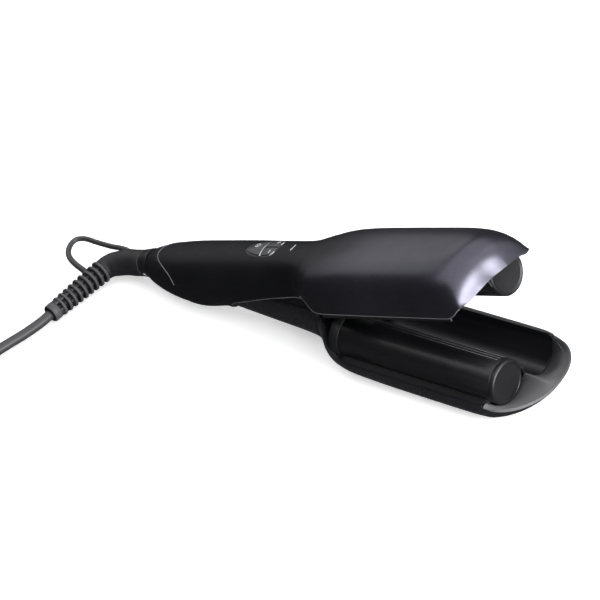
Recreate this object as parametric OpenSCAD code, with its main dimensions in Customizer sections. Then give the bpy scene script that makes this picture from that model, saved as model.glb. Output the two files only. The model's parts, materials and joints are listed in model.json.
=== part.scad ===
// Deep waver: a hair crimper with two arms, each with one heated barrel beside one heated trough.
// Millimetres, X towards the tip, Y across the jaws, Z up. The origin lies on the surface that the
// tool rests on, under the middle of its length. Each arm is drawn as it stands when closed, with
// the hinge axis through its own origin, and is then turned and lifted into place.

/* [Wave plates] */
// Diameter of each heated barrel
barrel_d = 25; // [22:0.5:26]
// Gap for hair between a barrel and the trough that it closes into
hair_gap = 0.5; // [0.4:0.1:1]
// Thickness of the plate metal
plate_t = 1.2; // [1:0.1:1.6]
// Distance from the hinge to the rear end of the plates
plate_x0 = 93; // [90:1:110]
// Length of the plates
plate_len = 104; // [80:1:130]
// Thickness of the barrel's end cap
cap_t = 3; // [2:0.5:5]
// Height of the plates' middle plane above the hinge
wave_z = -3; // [-4:0.5:-2]

/* [Jaws] */
// Wall of the jaw and handle mouldings
wall = 1.8; // [1.4:0.1:2]
// Depth of the lower jaw under the hinge
jaw_depth = 23; // [23:0.5:26]
// Height of the upper jaw's crown above the hinge
crown_z = 23.4; // [23:0.2:28]
// Reach of the upper cover past the barrel
cover_reach = 8; // [6:0.5:12]
// Reach of the lower jaw's rounded tip past the barrel
tip_reach = 22; // [18:0.5:26]
// Drop of the lower jaw's rim below the middle plane, beside its barrel
rim_drop = 6.5; // [5:0.5:8]
// Thickness of the lip on the lower jaw's tip
lip_t = 1.6; // [1.2:0.1:2.5]

/* [Handle] */
// Width of the handle
handle_w = 34; // [32:0.5:38]
// Height of the handle's back above the hinge
handle_top = 21; // [20.5:0.5:24]
// Distance from the hinge back to the end of the handle
handle_rear = 66; // [64:1:80]
// Distance from the hinge back to the seam of the end cap, at the handle's back
seam_top = 55; // [52:0.5:58]
// Distance from the hinge back to the same seam, at the underside
seam_low = 34; // [30:0.5:42]

/* [Hinge] */
// Angle between the open arms
open_angle = 15; // [12:0.5:16]
// Diameter of the hinge pin
pin_d = 4; // [3:0.5:5]
// Diameter of the lower arm's hub
hub_d = 22; // [18:0.5:22]
// Width of the lower arm inside the handle
neck_w = 25; // [22:0.5:27]
// Diameter of the spring wire
spring_wire = 1.3; // [1:0.1:1.6]

/* [Controls] */
// Length of the lens-shaped control field
field_len = 27; // [24:0.5:30]
// Width of the control field
field_w = 17.5; // [14:0.5:18]
// Distance from the hinge to the middle of the control field
field_x = 34; // [32:0.5:36]
// Travel of each button
button_travel = 0.8; // [0.5:0.1:1]

/* [Cord end] */
// Height of the swivel axis above the hinge, at the hinge
swivel_z = 9.8; // [9:0.2:10]
// Diameter of the lock ring at the cord
ring_d = 15.8; // [15:0.2:18]
// Length of the lock ring
ring_len = 9; // [5:0.5:10]
// Travel of the lock bar
lock_travel = 5; // [3:0.5:6]
// Diameter of the swivel stem
stem_d = 8; // [7:0.5:9]
// Diameter of the cord
cord_d = 6; // [5.5:0.1:6.2]
// Diameter of the hanging loop's strand
loop_d = 2.6; // [2.4:0.1:3.5]
// Turns in the put-away coil
coil_turns = 7.5; // [5.5:1:7.5]
// Number of ribs on the strain relief
rib_count = 9; // [7:1:10]
// Pitch of the strain relief's ribs
rib_pitch = 4.1; // [3.8:0.1:4.4]

/* [Hidden] */

$fn = 64;
tiny = 0.01;
seat = 0.1;        // gap between pieces of one arm that rest on each other
run_fit = 0.05;    // radial clearance of a running fit
move_gap = 0.3;    // gap beside a piece that turns or slides
big = 400;         // larger than the whole tool
ring_n = 28;       // points round a moulding's section
steps = 2;         // rings made between two stations

// Places along an arm
barrel_r = barrel_d / 2;
trough_r = barrel_r + hair_gap;
trough_out = trough_r + plate_t;
wave_y = (barrel_r + trough_out) / 2;
plate_x1 = plate_x0 + plate_len;
barrel_x1 = plate_x1 + cap_t;
cover_x1 = barrel_x1 + cover_reach;
tip_x = barrel_x1 + tip_reach;
jaw_half = wave_y + trough_out + seat + wall;
handle_half = handle_w / 2;
handle_mid = 4;
rest_gap = 0.3;
belly_x = -28;
belly_z = (-jaw_depth + rest_gap - belly_x * sin(open_angle)) / cos(open_angle);
front_edge_z = 3;
near_edge_z = wave_z - 0.2;
far_edge_z = 3;
near_rim_z = wave_z - rim_drop;
far_rim_z = wave_z + 2;

// Place of the arms in the tool's own frame
stem_x1 = -handle_rear - ring_len - 10;
rear_reach = -stem_x1 * cos(open_angle) + (swivel_z + stem_d / 2) * sin(open_angle);
middle_x = (tip_x - rear_reach) / 2;

module lower_place() {
    translate([-middle_x, 0, jaw_depth]) children();
}
module upper_place() {
    lower_place() rotate([0, -open_angle, 0]) children();
}
// Puts +Z along the handle's own X axis, at the swivel's height
module swivel_place(x) {
    upper_place() translate([x, 0, swivel_z]) rotate([0, 90, 0]) children();
}

// ---- Lofts ----
function signed_pow(v, p) = sign(v) * pow(abs(v), p);
// A station is [x, half width, top, widest height, bottom, power above, power below, far half width]
function section(s, n = ring_n) = [
    for (j = [0 : n - 1])
        let (t = 360 * j / n, p = sin(t) >= 0 ? s[5] : s[6], rise = sin(t) >= 0 ? s[2] - s[3] : s[3] - s[4])
            [s[0], (len(s) > 7 && cos(t) > 0 ? s[7] : s[1]) * signed_pow(cos(t), 2 / p),
             s[3] + rise * signed_pow(sin(t), 2 / p)]
];
// The same half width on both sides
function even(stations) = [for (s = stations) concat(s, s[1])];
function between(a, b, c, d, t) =
    0.5 * (2 * b + (c - a) * t + (2 * a - 5 * b + 4 * c - d) * t * t + (3 * b - a - 3 * c + d) * t * t * t);
function eased(s, m = steps) = [
    for (i = [0 : len(s) - 2])
        for (k = [0 : m - 1])
            between(s[max(i - 1, 0)], s[i], s[i + 1], s[min(i + 2, len(s) - 1)], k / m),
    s[len(s) - 1]
];
module loft(rings) {
    n = len(rings[0]);
    last = len(rings) - 1;
    sides = [
        for (i = [0 : last - 1])
            for (j = [0 : n - 1])
                let (a = i * n + j, b = i * n + (j + 1) % n)
                    each [[a, a + n, b + n], [a, b + n, b]]
    ];
    polyhedron([for (r = rings) each r],
        concat([[for (j = [0 : n - 1]) j]], sides, [[for (j = [n - 1 : -1 : 0]) last * n + j]]));
}

// ---- Tubes ----
function unit(v) = v / norm(v);
function heading(p, i) = unit(p[min(i + 1, len(p) - 1)] - p[max(i - 1, 0)]);
function tube_ring(c, t, up, r, n) =
    let (side = unit(cross(up, t)), lift = cross(t, side))
        [for (j = [0 : n - 1]) c + r * (cos(360 * j / n) * side + sin(360 * j / n) * lift)];
module tube(points, radii, n = 8, up = [0, 0, 1]) {
    loft([for (i = [0 : len(points) - 1]) tube_ring(points[i], heading(points, i), up, radii[i], n)]);
}
function same(v, list) = [for (i = list) v];
// A smooth curve through the points, m steps between each two
function curve(p, m) = [
    for (i = [0 : len(p) - 2])
        for (k = [0 : m - 1])
            between(p[max(i - 1, 0)], p[i], p[i + 1], p[min(i + 2, len(p) - 1)], k / m),
    p[len(p) - 1]
];

// ---- Outer forms of the arms ----
below = -14;
upper_form = [
    [-handle_rear, 9.4, 17.5, 8, -1.6, 2, 2],
    [-handle_rear + 4, 11.2, 18.8, 8, -4.4, 2.05, 2],
    [-54, 13.5, handle_top - 1.2, 7, -8.6, 2.2, 2],
    [-42, handle_half - 1.2, handle_top - 0.6, 5, -12.25, 2.4, 2],
    [belly_x, handle_half, handle_top - 0.4, handle_mid, belly_z, 2.5, 2],
    [-8, handle_half, handle_top - 0.1, handle_mid, belly_z + 0.6, 2.5, 2],
    [20, handle_half, handle_top, handle_mid, below, 2.5, 2.2],
    [50, handle_half, handle_top - 0.2, 3, below, 2.5, 2.4],
    [plate_x0 - 25, handle_half + 1.4, handle_top - 0.8, 2, below, 2.5, 2.6],
    [plate_x0 - 14, jaw_half - 5.2, handle_top - 0.2, 2, below, 2.6, 2.8],
    [plate_x0 - 5, jaw_half - 0.9, handle_top + 0.8, 1, below, 2.7, 3],
    [plate_x0 + 7, jaw_half, crown_z - 0.8, 1, below, 2.8, 3],
    [plate_x0 + 27, jaw_half, crown_z, 1, below, 2.8, 3],
    [plate_x1 - 27, jaw_half, crown_z + 0.2, 1, below, 2.8, 3],
    [plate_x1 - 5, jaw_half - 0.2, crown_z + 0.3, 1, below, 2.7, 3],
    [cover_x1 - 7, jaw_half - 0.5, crown_z - 2.6, 0, below, 2.6, 3],
    [cover_x1 - 2.5, jaw_half - 0.6, crown_z - 8.4, -1, below, 2.5, 3],
    [cover_x1, jaw_half - 0.8, front_edge_z + 2.2, -2, below, 2.4, 3]
];
function hollowed(s) = [
    s[0] - (s[0] > barrel_x1 ? wall : 0), s[1] - wall, s[2] - wall, s[3], s[4] + wall, s[5], s[6]
];
module upper_solid() {
    loft([for (s = eased(upper_form)) section(s)]);
}
module upper_void() {
    inner = [for (i = [1 : len(upper_form) - 1]) hollowed(upper_form[i])];
    front = concat(upper_form[0][0] + 3, [for (k = [1 : 6]) hollowed(upper_form[0])[k]]);
    loft([for (s = eased(concat([front], inner))) section(s)]);
}

neck_half = neck_w / 2;
tip_mid = barrel_x1 - 10;
tip_r = tip_x - tip_mid;
case_mid = -9;
far_power = 2.4;
foot = 0.2;         // height cut off the case's underside to leave it flat
lip_over = 1.5;     // overhang of the lip at the tip
function far_cos(a) = pow(1 - pow(abs(sin(a)), far_power), 1 / far_power);
lower_form = concat(even([
    [4, neck_half, 6, -3, -hub_d / 2 - 1.8, 3.4, 3.2],
    [30, neck_half, 5.5, -4, -14.9, 3.2, 3],
    [plate_x0 - 31, neck_half + 0.8, 5, -5, -16.4, 3, 3],
    [plate_x0 - 21, neck_half + 4, 5, -7, -17.6, 3, 2.8],
    [plate_x0 - 14, jaw_half - 7, 5, -8, -19, 3, 2.6],
    [plate_x0 - 7, jaw_half - 3.2, 5, case_mid, -jaw_depth + 2, 3, 2.6],
    [plate_x0 + 2, jaw_half - 0.7, 5, case_mid, -jaw_depth + 0.4, 4, 2.6],
    [plate_x0 + 12, jaw_half, 5, case_mid, -jaw_depth - foot, 4, 2.8],
    [plate_x0 + 40, jaw_half, 5, case_mid, -jaw_depth - foot, 4, 3.3],
    [tip_mid - 12, jaw_half, 5, case_mid, -jaw_depth - foot, 4, 3.5]
]), [
    for (a = [6 : 13 : 84])
        [tip_mid + (tip_r - lip_over) * sin(a), jaw_half * cos(a), 5, case_mid + 0.6 * sin(a),
         case_mid - (jaw_depth + case_mid) * pow(cos(a), 1.4), 4, 3.4 - 1.5 * sin(a),
         jaw_half * far_cos(a) - 0.6 * lip_over * sin(a)]
]);
module lower_solid() {
    difference() {
        loft([for (s = eased(lower_form)) section(s)]);
        translate([0, -50, -jaw_depth - 10]) cube([300, 100, 10]);
    }
}
// The tray's hollow, open at the top
tray_x0 = plate_x0 - 6;
module lower_void() {
    tray = [for (s = eased(lower_form)) if (s[0] > tray_x0 && s[0] < tip_x - 4) s];
    loft([for (s = tray)
        section([s[0] - wall, s[1] - wall, 12, s[3], s[4] + wall + foot, 12, s[6], s[7] - wall])]);
}

// Side profile turned into a solid across half of the width, side = -1 near or 1 far
module across(outline, side) {
    mirror([0, side > 0 ? 1 : 0, 0])
        rotate([90, 0, 0])
            linear_extrude(big) polygon(outline);
}
// Everything below the upper arm's lower edge
belly_end = -10;
// Space of the trough, where the jaw's wall is thinned behind its edge
module trough_bed() {
    along(plate_x0 - 0.4, barrel_x1 + 0.2) translate([wave_y, 0]) {
        circle(trough_out + seat);
        translate([trough_out - 2, 0]) square([2 + seat, plate_rise + seat]);
    }
}
module under_upper(side) {
    edge = side > 0 ? far_edge_z : near_edge_z;
    front = side > 0
        ? [[cover_x1 - 8, edge], [cover_x1 + 20, front_edge_z]]
        : [[cover_x1 - 12, edge], [cover_x1 - 5, edge + 1.4], [cover_x1 - 1.5, front_edge_z - 1.5],
           [cover_x1 - 0.5, front_edge_z], [cover_x1 + 20, front_edge_z]];
    across(concat(
        [[belly_end, -60], [belly_end, belly_z + 1.8], [-4, -11], [5, -6.3], [34, -1.8],
         [plate_x0 - 26, 1.4], [plate_x0 - 12.5, 1.4], [plate_x0 - 8, (edge + 2.6) / 2],
         [plate_x0 - 3, side > 0 ? edge : edge + 1.4], [plate_x0 + 35, edge]],
        front, [[cover_x1 + 20, -60]]), side);
}
// Everything above the lower jaw's rim, which falls to the sloping lip at the tip
lip_x0 = [barrel_x1 - 7, barrel_x1 + 1];
lip_level = wave_z - 3.6;
lip_slope = 0.12;
module over_lower(side) {
    rim = side > 0 ? far_rim_z : near_rim_z;
    across([[plate_x0 - 23, 30], [plate_x0 - 22, 4], [plate_x0 - 15, 2.5], [plate_x0 - 9, (rim + 2.5) / 2],
            [plate_x0 - 2, rim], [tip_x + 20, rim], [tip_x + 20, 30]], side);
    translate([side > 0 ? lip_x0[1] : lip_x0[0], 0, lip_level - lip_t - lip_gap])
        rotate([atan(lip_slope), 0, 0])
        translate([0, side > 0 ? 0 : -50, 0]) cube(50);
}

// ---- Handle and upper jaw ----
module behind_seam(grow = 0) {
    seam = [[-seam_top + grow, handle_top + 2], [-seam_low + grow, belly_z - 2]];
    for (side = [-1, 1])
        across([[-big, 60], [seam[0][0], 60], seam[0], seam[1], [seam[1][0], -60], [-big, -60]], side);
}
belly_seam_z = belly_z + 3.6;
module below_belly_seam() {
    for (side = [-1, 1])
        across([[-big, -60], [-big, belly_seam_z], [belly_end, belly_seam_z], [belly_end, -60]], side);
}
// Outline of the control field: narrow at the rear, with a curved front
field_x0 = field_x - field_len / 2;
field_x1 = field_x + field_len / 2;
function field_point(t) =
    let (u = (1 - cos(t)) / 2, wide = pow(sin(t), 0.85 - 0.45 * u) * (0.64 + 0.42 * u))
        [field_x0 + field_len * u - 0.6 * (1 - u) * abs(wide), field_w / 2 * wide];
function closed_out(p, d) = [
    for (i = [0 : len(p) - 1])
        let (along = unit(p[(i + 1) % len(p)] - p[(i + len(p) - 1) % len(p)]))
            p[i] + d * [along[1], -along[0]]
];
function field_outline() = let (half = [for (t = [9 : 9 : 171]) field_point(t)], n = len(half) - 1) concat(
    [[field_x0, 0]], [for (i = [0 : n]) [half[i][0], -half[i][1]]],
    [[field_x1, 0]], [for (i = [n : -1 : 0]) half[i]]);
module field_shape(grow = 0) {
    translate([0, 0.8]) polygon(closed_out(field_outline(), grow));
}
back_r = 28;       // roundness of the handle's back across the controls
module back_round(z) {
    translate([field_x - field_len, 0, z - back_r])
        rotate([0, 90, 0]) cylinder(h = 2 * field_len, r = back_r);
}
bezel_low = handle_top - 4.2;
board_top = handle_top - 6.6;
board_t = 1.6;
board_x0 = 10;
board_x1 = 64;
board_w = 23;
hinge_boss_d = pin_d + 4;
hinge_boss_end = handle_half - 0.9 * wall;
guide_x = 58.2;
lock_bar_w = 6;
lock_bar_z = 13.2;
lock_bar_h = 3;
lock_bar_x0 = -handle_rear + 9;
lock_bar_x1 = -13 - lock_travel;
lock_guide_x0 = lock_bar_x0 + 11;
lock_guide_x1 = lock_bar_x1 - 2;
post_x = [16, 50];
spine_rel = trough_out + 2.2;
spine_t = 1.3;
spine_w = 16;
screw_x = [plate_x0 + 18, plate_x1 - 14];
boss_d = 7;
light_inner = 13;
light_w = 0.9;
module light_shape(grow = 0) {
    translate([guide_x - light_inner, 0]) intersection() {
        difference() {
            circle(light_inner + light_w + grow);
            circle(light_inner - grow);
        }
        polygon([[0, -grow], [40, -40 * tan(6) - 2 * grow], [40, 40 * tan(18) + 2 * grow], [0, grow]]);
    }
}
module top_cover() {
    color("#2b2833") upper_place() difference() {
        union() {
            difference() {
                upper_solid();
                upper_void();
            }
            for (side = [-1, 1]) rotate([side * 90, 0, 0]) translate([0, 0, neck_half + move_gap])
                cylinder(h = hinge_boss_end - neck_half - move_gap, d = hinge_boss_d);
            for (x = screw_x) translate([x, 0, wave_z + spine_rel + spine_t + seat])
                cylinder(h = crown_z - wave_z - spine_rel - spine_t - 1.2, d = boss_d);
            for (x = post_x) for (side = [-1, 1]) translate([x, side * 8.5, board_top + seat])
                cylinder(h = handle_top - board_top - 3.4, d = 4);
            for (side = [-1, 1])
                translate([lock_guide_x0, side * (lock_bar_w / 2 + 0.2 + 0.75) - 0.75, lock_bar_z])
                    cube([lock_guide_x1 - lock_guide_x0, 1.5, handle_top - lock_bar_z - 1.9]);
        }
        for (side = [-1, 1]) under_upper(side);
        behind_seam();
        below_belly_seam();
        translate([0, 0, bezel_low - 6]) linear_extrude(20) field_shape(0.15);
        translate([0, 0, board_top]) linear_extrude(20) light_shape(0.12);
        rotate([90, 0, 0]) cylinder(h = 2 * hinge_boss_end - 0.4, d = pin_d + 0.04, center = true);
        for (x = screw_x) translate([x, 0, wave_z + spine_rel]) cylinder(h = 7.2, d = screw_d + 0.1);
        translate([0, 0, wave_z]) rotate([180, 0, 0]) trough_bed();
        rotate([90, 0, 0]) cylinder(h = neck_w + 2 * move_gap, d = hub_d + 2 * move_gap, center = true);
    }
}
module belly_cover() {
    color("#26242d") upper_place() difference() {
        intersection() {
            difference() {
                upper_solid();
                upper_void();
            }
            below_belly_seam();
        }
        behind_seam();
        for (side = [-1, 1]) under_upper(side);
    }
}
cap_wall = 3;
module rear_cap() {
    color("#201f26") upper_place() difference() {
        intersection() {
            upper_solid();
            behind_seam();
        }
        upper_void();
        translate([-handle_rear - 1, 0, swivel_z])
            rotate([0, 90, 0]) cylinder(h = cap_wall + 5, d = stem_d + 2 * run_fit);
    }
}

// ---- Controls ----
divider_r = 40;
divider_w = 0.9;
divider_x = 35.2;
divider_tilt = 11;
module behind_divider(shift) {
    translate([divider_x + shift, 0]) rotate(divider_tilt) translate([divider_r, 0]) difference() {
        translate([-big, -big / 2]) square([big, big]);
        circle(divider_r);
    }
}
module before_divider(shift) {
    translate([divider_x + shift, 0]) rotate(divider_tilt) translate([divider_r, 0]) circle(divider_r);
}
well_gap = 0.15;
module power_shape(grow = 0) {
    intersection() {
        field_shape(grow - 1);
        behind_divider(grow - divider_w / 2 - 0.2);
    }
}
module step_shape(side, grow = 0) {
    intersection() {
        field_shape(grow - 1);
        before_divider(divider_w / 2 + 0.2 - grow);
        translate([divider_x - 5, side > 0 ? 1.2 - grow : -field_w + 0.2 + grow])
            square([field_len, field_w]);
    }
}
bezel_top = handle_top - 0.25;
button_low = bezel_low + 1.2 + button_travel + 0.2;
module control_bezel() {
    color("#3a3a40") upper_place() {
        difference() {
            intersection() {
                translate([0, 0, bezel_low]) linear_extrude(6) field_shape();
                back_round(bezel_top);
            }
            translate([0, 0, bezel_low + 1.2]) linear_extrude(10) {
                power_shape(well_gap);
                step_shape(-1, well_gap);
                step_shape(1, well_gap);
            }
        }
        for (x = [field_x - 8.5, field_x + 9.5]) translate([x, 0, board_top + seat])
            cylinder(h = bezel_low - board_top - seat + tiny, d = 2.4);
    }
}
button_top = handle_top + 0.25;
module button(low = button_low) {
    color("#6f7076") upper_place() intersection() {
        translate([0, 0, low]) linear_extrude(8) children();
        back_round(button_top);
    }
}
module power_button() {
    button() power_shape();
}
module minus_button() {
    button() step_shape(-1);
}
module plus_button() {
    button() step_shape(1);
}
module light_guide() {
    color("white") upper_place() intersection() {
        translate([0, 0, board_top + seat]) linear_extrude(8) light_shape();
        translate([0, 0, handle_top - 0.25 - back_r]) rotate([0, 90, 0]) cylinder(h = 100, r = back_r);
    }
}
module control_board() {
    color("seagreen") upper_place() {
        difference() {
            translate([board_x0, -board_w / 2, board_top - board_t])
                cube([board_x1 - board_x0, board_w, board_t]);
            translate([board_x1 - 4, 0, board_top - 5]) cylinder(h = 8, d = 2);
        }
        for (p = [[field_x - 4, 0], [field_x + 7, -4], [field_x + 7, 4]])
            translate([p[0], p[1], board_top - tiny]) cylinder(h = bezel_low - board_top - seat, d = 2.6);
        translate([board_x0 + 2, -5, board_top - board_t - 1.2]) cube([8, 10, 1.2 + tiny]);
        translate([board_x1 - 14, -8, board_top - board_t - 2.4]) cube([6, 16, 2.4 + tiny]);
    }
}

// ---- Plates, carriers and heaters, the same in both jaws ----
// Drawn for the lower jaw, about the middle plane; the upper jaw's are turned over
module lower_wave() {
    lower_place() translate([0, 0, wave_z]) children();
}
module upper_wave() {
    upper_place() translate([0, 0, wave_z]) rotate([180, 0, 0]) children();
}
module along(x0, x1) {
    translate([x0, 0, 0]) rotate([90, 0, 90]) linear_extrude(x1 - x0) children();
}
plate_rise = 2;
web_h = 3;
module wave_section() {
    difference() {
        union() {
            translate([-wave_y, 0]) circle(barrel_r);
            intersection() {
                translate([wave_y, 0]) circle(trough_out);
                translate([-5, -30]) square([60, 30]);
            }
            translate([wave_y + trough_r, 0]) square([plate_t, plate_rise]);
            translate([wave_y - trough_out - 1.2, -web_h]) square([1.6 + plate_t, web_h]);
        }
        translate([-wave_y, 0]) circle(barrel_r - plate_t);
        translate([wave_y, 0]) circle(trough_r);
    }
}
module wave_plate() {
    difference() {
        along(plate_x0, barrel_x1) wave_section();
        along(plate_x1, barrel_x1 + 1) translate([wave_y - trough_r - 60, -30]) square(60);
    }
}
module barrel_cap() {
    translate([plate_x1, -wave_y, 0]) rotate([0, 90, 0]) rotate_extrude()
        polygon([[0, -4], [barrel_r - plate_t - seat, -4], [barrel_r - plate_t - seat, 0], [barrel_r, 0],
                 [barrel_r, cap_t - 0.8], [barrel_r - 0.8, cap_t], [barrel_r - 1.6, cap_t],
                 [barrel_r - 2, cap_t - 0.4], [0, cap_t - 0.4]]);
}
heater_r = barrel_r - plate_t - seat;
heater_x0 = plate_x0 + 8;
heater_x1 = plate_x1 - 8;
module heater() {
    along(heater_x0, heater_x1) translate([-wave_y, 0]) {
        intersection() {
            circle(heater_r);
            translate([-30, 1.6]) square([60, 30]);
        }
        intersection() {
            circle(heater_r);
            translate([-30, -31.6]) square([60, 30]);
        }
        square([12, 3.2 + tiny], center = true);
    }
}
// Outline inside the jaw's moulding, with room to seat
function inside_jaw() = [
    for (p = section([0, jaw_half - wall - seat - 0.45, 4, -9, -jaw_depth + wall + seat + 0.4, 8, 2.7], 48))
        [p[1], p[2] - wave_z]
];
rib_t = 3;
carrier_x0 = plate_x0 + 10;
screw_d = 2.7;
module carrier_section(rim) {
    difference() {
        intersection() {
            polygon(inside_jaw());
            translate([-50, -60]) square([100, 60 - rim_drop - rim]);
        }
        translate([-wave_y, 0]) circle(barrel_r + seat);
        translate([wave_y, 0]) circle(trough_out + seat);
        translate([wave_y - trough_out - 1.2 - seat, -web_h - seat])
            square([1.6 + plate_t + 2 * seat, web_h + 1]);
    }
}
module carrier() {
    difference() {
        union() {
            for (x = [carrier_x0, plate_x0 + plate_len * 0.36, plate_x0 + plate_len * 0.62,
                  plate_x1 - rib_t - 5])
                along(x, x + rib_t) carrier_section(0.5);
            translate([carrier_x0, -spine_w / 2, -spine_rel - spine_t])
                cube([plate_x1 - rib_t - 4 - carrier_x0, spine_w, spine_t]);
            for (x = screw_x)
                translate([x, 0, -spine_rel - spine_t]) cylinder(h = spine_t + 4, d = boss_d - 1);
        }
        for (x = screw_x) translate([x, 0, -spine_rel - spine_t - 1]) cylinder(h = 8, d = screw_d + 0.1);
    }
}
module upper_carrier() {
    color("#3c3b40") upper_wave() carrier();
}
module upper_plate() {
    color("#1d1d20") upper_wave() wave_plate();
}
module upper_barrel_cap() {
    color("#33333a") upper_wave() barrel_cap();
}
module upper_heater() {
    color("silver") upper_wave() heater();
}
module lower_carrier() {
    color("#3c3b40") lower_wave() carrier();
}
module lower_plate() {
    color("#1d1d20") lower_wave() wave_plate();
}
module lower_barrel_cap() {
    color("#33333a") lower_wave() barrel_cap();
}
module lower_heater() {
    color("silver") lower_wave() heater();
}

// ---- Screws ----
screw_head_d = 5;
module screw(length, head_h) {
    difference() {
        cylinder(h = head_h, d = screw_head_d);
        translate([0, 0, -tiny]) cylinder(h = 0.6 * head_h, d = 2, $fn = 6);
    }
    translate([0, 0, head_h - tiny]) cylinder(h = length, d = screw_d);
}
module carrier_screws() {
    color("silver") upper_wave() for (x = screw_x)
        translate([x, 0, -spine_rel + 4 + 1.6 + seat]) mirror([0, 0, 1]) screw(10, 1.6);
}
case_seat = -jaw_depth + 1;
module case_screws() {
    color("silver") lower_place() for (x = screw_x) translate([x, 0, case_seat - 0.8 - tiny]) screw(6, 0.8);
}

// ---- Lower jaw ----
module lower_shell() {
    color("#35343b") lower_place() difference() {
        union() {
            difference() {
                lower_solid();
                lower_void();
                for (side = [-1, 1]) over_lower(side);
            }
            rotate([90, 0, 0]) cylinder(h = neck_w, d = hub_d, center = true);
        }
        translate([-hub_d, -spring_slot / 2, -hub_d / 2 + 4]) cube([hub_d + 13, spring_slot, 2 * hub_d]);
        rotate([90, 0, 0]) cylinder(h = neck_w + 2, d = pin_d + 2 * run_fit, center = true);
        for (d = [[0, 0, 0], [-0.4, 0, 0], [0, -0.3, 0]])
            translate(d) lip_form(12, lip_t + 1.5 * lip_gap, 0.1);
        translate([0, 0, wave_z]) trough_bed();
        for (x = screw_x) translate([x, 0, -jaw_depth - 1]) {
            cylinder(h = wall + 3, d = screw_d + 0.3);
            cylinder(h = 2, d = screw_head_d + 0.4);
        }
    }
}
// Smooth lip from the ends of barrel and trough out to the tip's rounded edge
lip_gap = 0.2;
lip_rows = 5;
lip_r = trough_r + 0.2;
function lip_inner(t) =
    t < 0.5
    ? let (a = 212 + 266 * t, tuck = 2.6 * min(1, 5 - 10 * t) + 4 * pow(max(0, 1 - 6 * t), 2))
        [barrel_x1 + 0.4 - tuck, -wave_y + lip_r * cos(a), wave_z + lip_r * sin(a)]
    : let (a = 35 + 318 * t) [barrel_x1 + 0.4, wave_y + lip_r * cos(a), wave_z + lip_r * sin(a)];
function lip_outer(t) =
    let (a = -84 + 154 * t, y = (jaw_half - 0.2) * (a < 0 ? sin(a) : far_cos(90 - a)))
        [tip_mid + tip_r * cos(a), y, lip_level + lip_slope * y];
function lip_point(t, k, past) =
    let (w = k / (lip_rows - 1), a = lip_inner(t), b = lip_outer(t))
    a * (1 - w) + b * w + (2 * w - 1) * past * unit(b - a) + [0, 0, 1.2 * sin(180 * w)];
module lip_form(rise, drop, past) {
    loft([
        for (t = concat(past > 0 ? [-past / 40] : [], [for (i = [0 : 28]) i / 28],
                        past > 0 ? [1 + past / 40] : []))
            concat([for (k = [0 : lip_rows - 1]) lip_point(t, k, past) + [0, 0, rise]],
                [for (k = [lip_rows - 1 : -1 : 0]) lip_point(t, k, past) - [0, 0, drop]])
    ]);
}
module tip_lip() {
    color("#5a5a60") lower_place() difference() {
        lip_form(0, lip_t, 0);
        along(plate_x1, barrel_x1 + 0.2) translate([-wave_y, wave_z]) circle(barrel_r + 0.3);
    }
}

// ---- Hinge ----
module hinge_pin() {
    color("silver") upper_place() rotate([90, 0, 0])
        cylinder(h = 2 * hinge_boss_end - 0.8, d = pin_d, center = true);
}
spring_slot = 10.4;
spring_turns = 5;
spring_r = pin_d / 2 + 0.4 + spring_wire;
spring_pitch = (spring_slot - 1.2 - spring_wire) / spring_turns;
function spring_path() = concat(
    [[-hub_d / 2 - 2, -spring_turns * spring_pitch / 2, spring_r]],
    [for (k = [0 : spring_turns * 12])
        [spring_r * sin(30 * k), (k / 12 - spring_turns / 2) * spring_pitch, spring_r * cos(30 * k)]],
    [[hub_d / 2 - 1, spring_turns * spring_pitch / 2, spring_r]]);
module hinge_spring() {
    color("silver") upper_place() tube(spring_path(), same(spring_wire / 2, spring_path()), 6, [0, 1, 0]);
}

// ---- Lock and swivel ----
module lock_ring() {
    color("#3a3a41") swivel_place(-handle_rear - 0.2 - ring_len) rotate_extrude()
        polygon([[stem_d / 2 + run_fit, 0], [ring_d / 2 - 0.4, 0], [ring_d / 2, 0.5],
                 [ring_d / 2 + 0.8, ring_len - 0.5], [ring_d / 2 + 0.5, ring_len],
                 [stem_d / 2 + run_fit, ring_len]]);
}
module lock_bar() {
    color("#c8c8c8") upper_place() {
        translate([lock_bar_x0, -lock_bar_w / 2, lock_bar_z])
            cube([lock_bar_x1 - lock_bar_x0, lock_bar_w, lock_bar_h]);
    }
}
module swivel_stem() {
    color("goldenrod") swivel_place(stem_x1) {
        cylinder(h = -stem_x1 - handle_rear + cap_wall + 0.2, d = stem_d);
        translate([0, 0, -stem_x1 - handle_rear + cap_wall + 0.2]) cylinder(h = 2.4, d = stem_d + 5);
    }
}

// ---- Boot, hanging loop and strain relief, in the tool's own frame ----
function arm_point(x, y, z) = [x - middle_x, y, z + jaw_depth];
function upper_point(x, y, z) = arm_point(
    x * cos(open_angle) - z * sin(open_angle), y, x * sin(open_angle) + z * cos(open_angle));
boot_way = [
    upper_point(-handle_rear - ring_len - 0.4, 0, swivel_z), upper_point(stem_x1 + 0.4, 0, swivel_z),
    arm_point(-90.5, -0.5, -13.3), arm_point(-96, -2.3, -14.3), arm_point(-100.4, -4.7, -14.9),
    arm_point(-102.6, -7.7, -15.4), arm_point(-103.5, -11, -15.7)
];
boot_r = 7.7;
relief_start = boot_way[6];
relief_dir = unit([-0.117, -0.992, -0.05]);
function boot_radius(i) = boot_r - (i < 6 ? 0 : 1.5 * (i - 6) / 12);
module boot_form() {
    way = curve(boot_way, 3);
    tube(way, [for (i = [0 : len(way) - 1]) boot_radius(i)], 20);
}
module cord_boot() {
    color("#47474d") difference() {
        boot_form();
        swivel_place(stem_x1 - 0.05) cylinder(h = 20, d = stem_d + 0.04);
        relief_place() cylinder(h = 20, r = boot_r + 1);
    }
}
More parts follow.
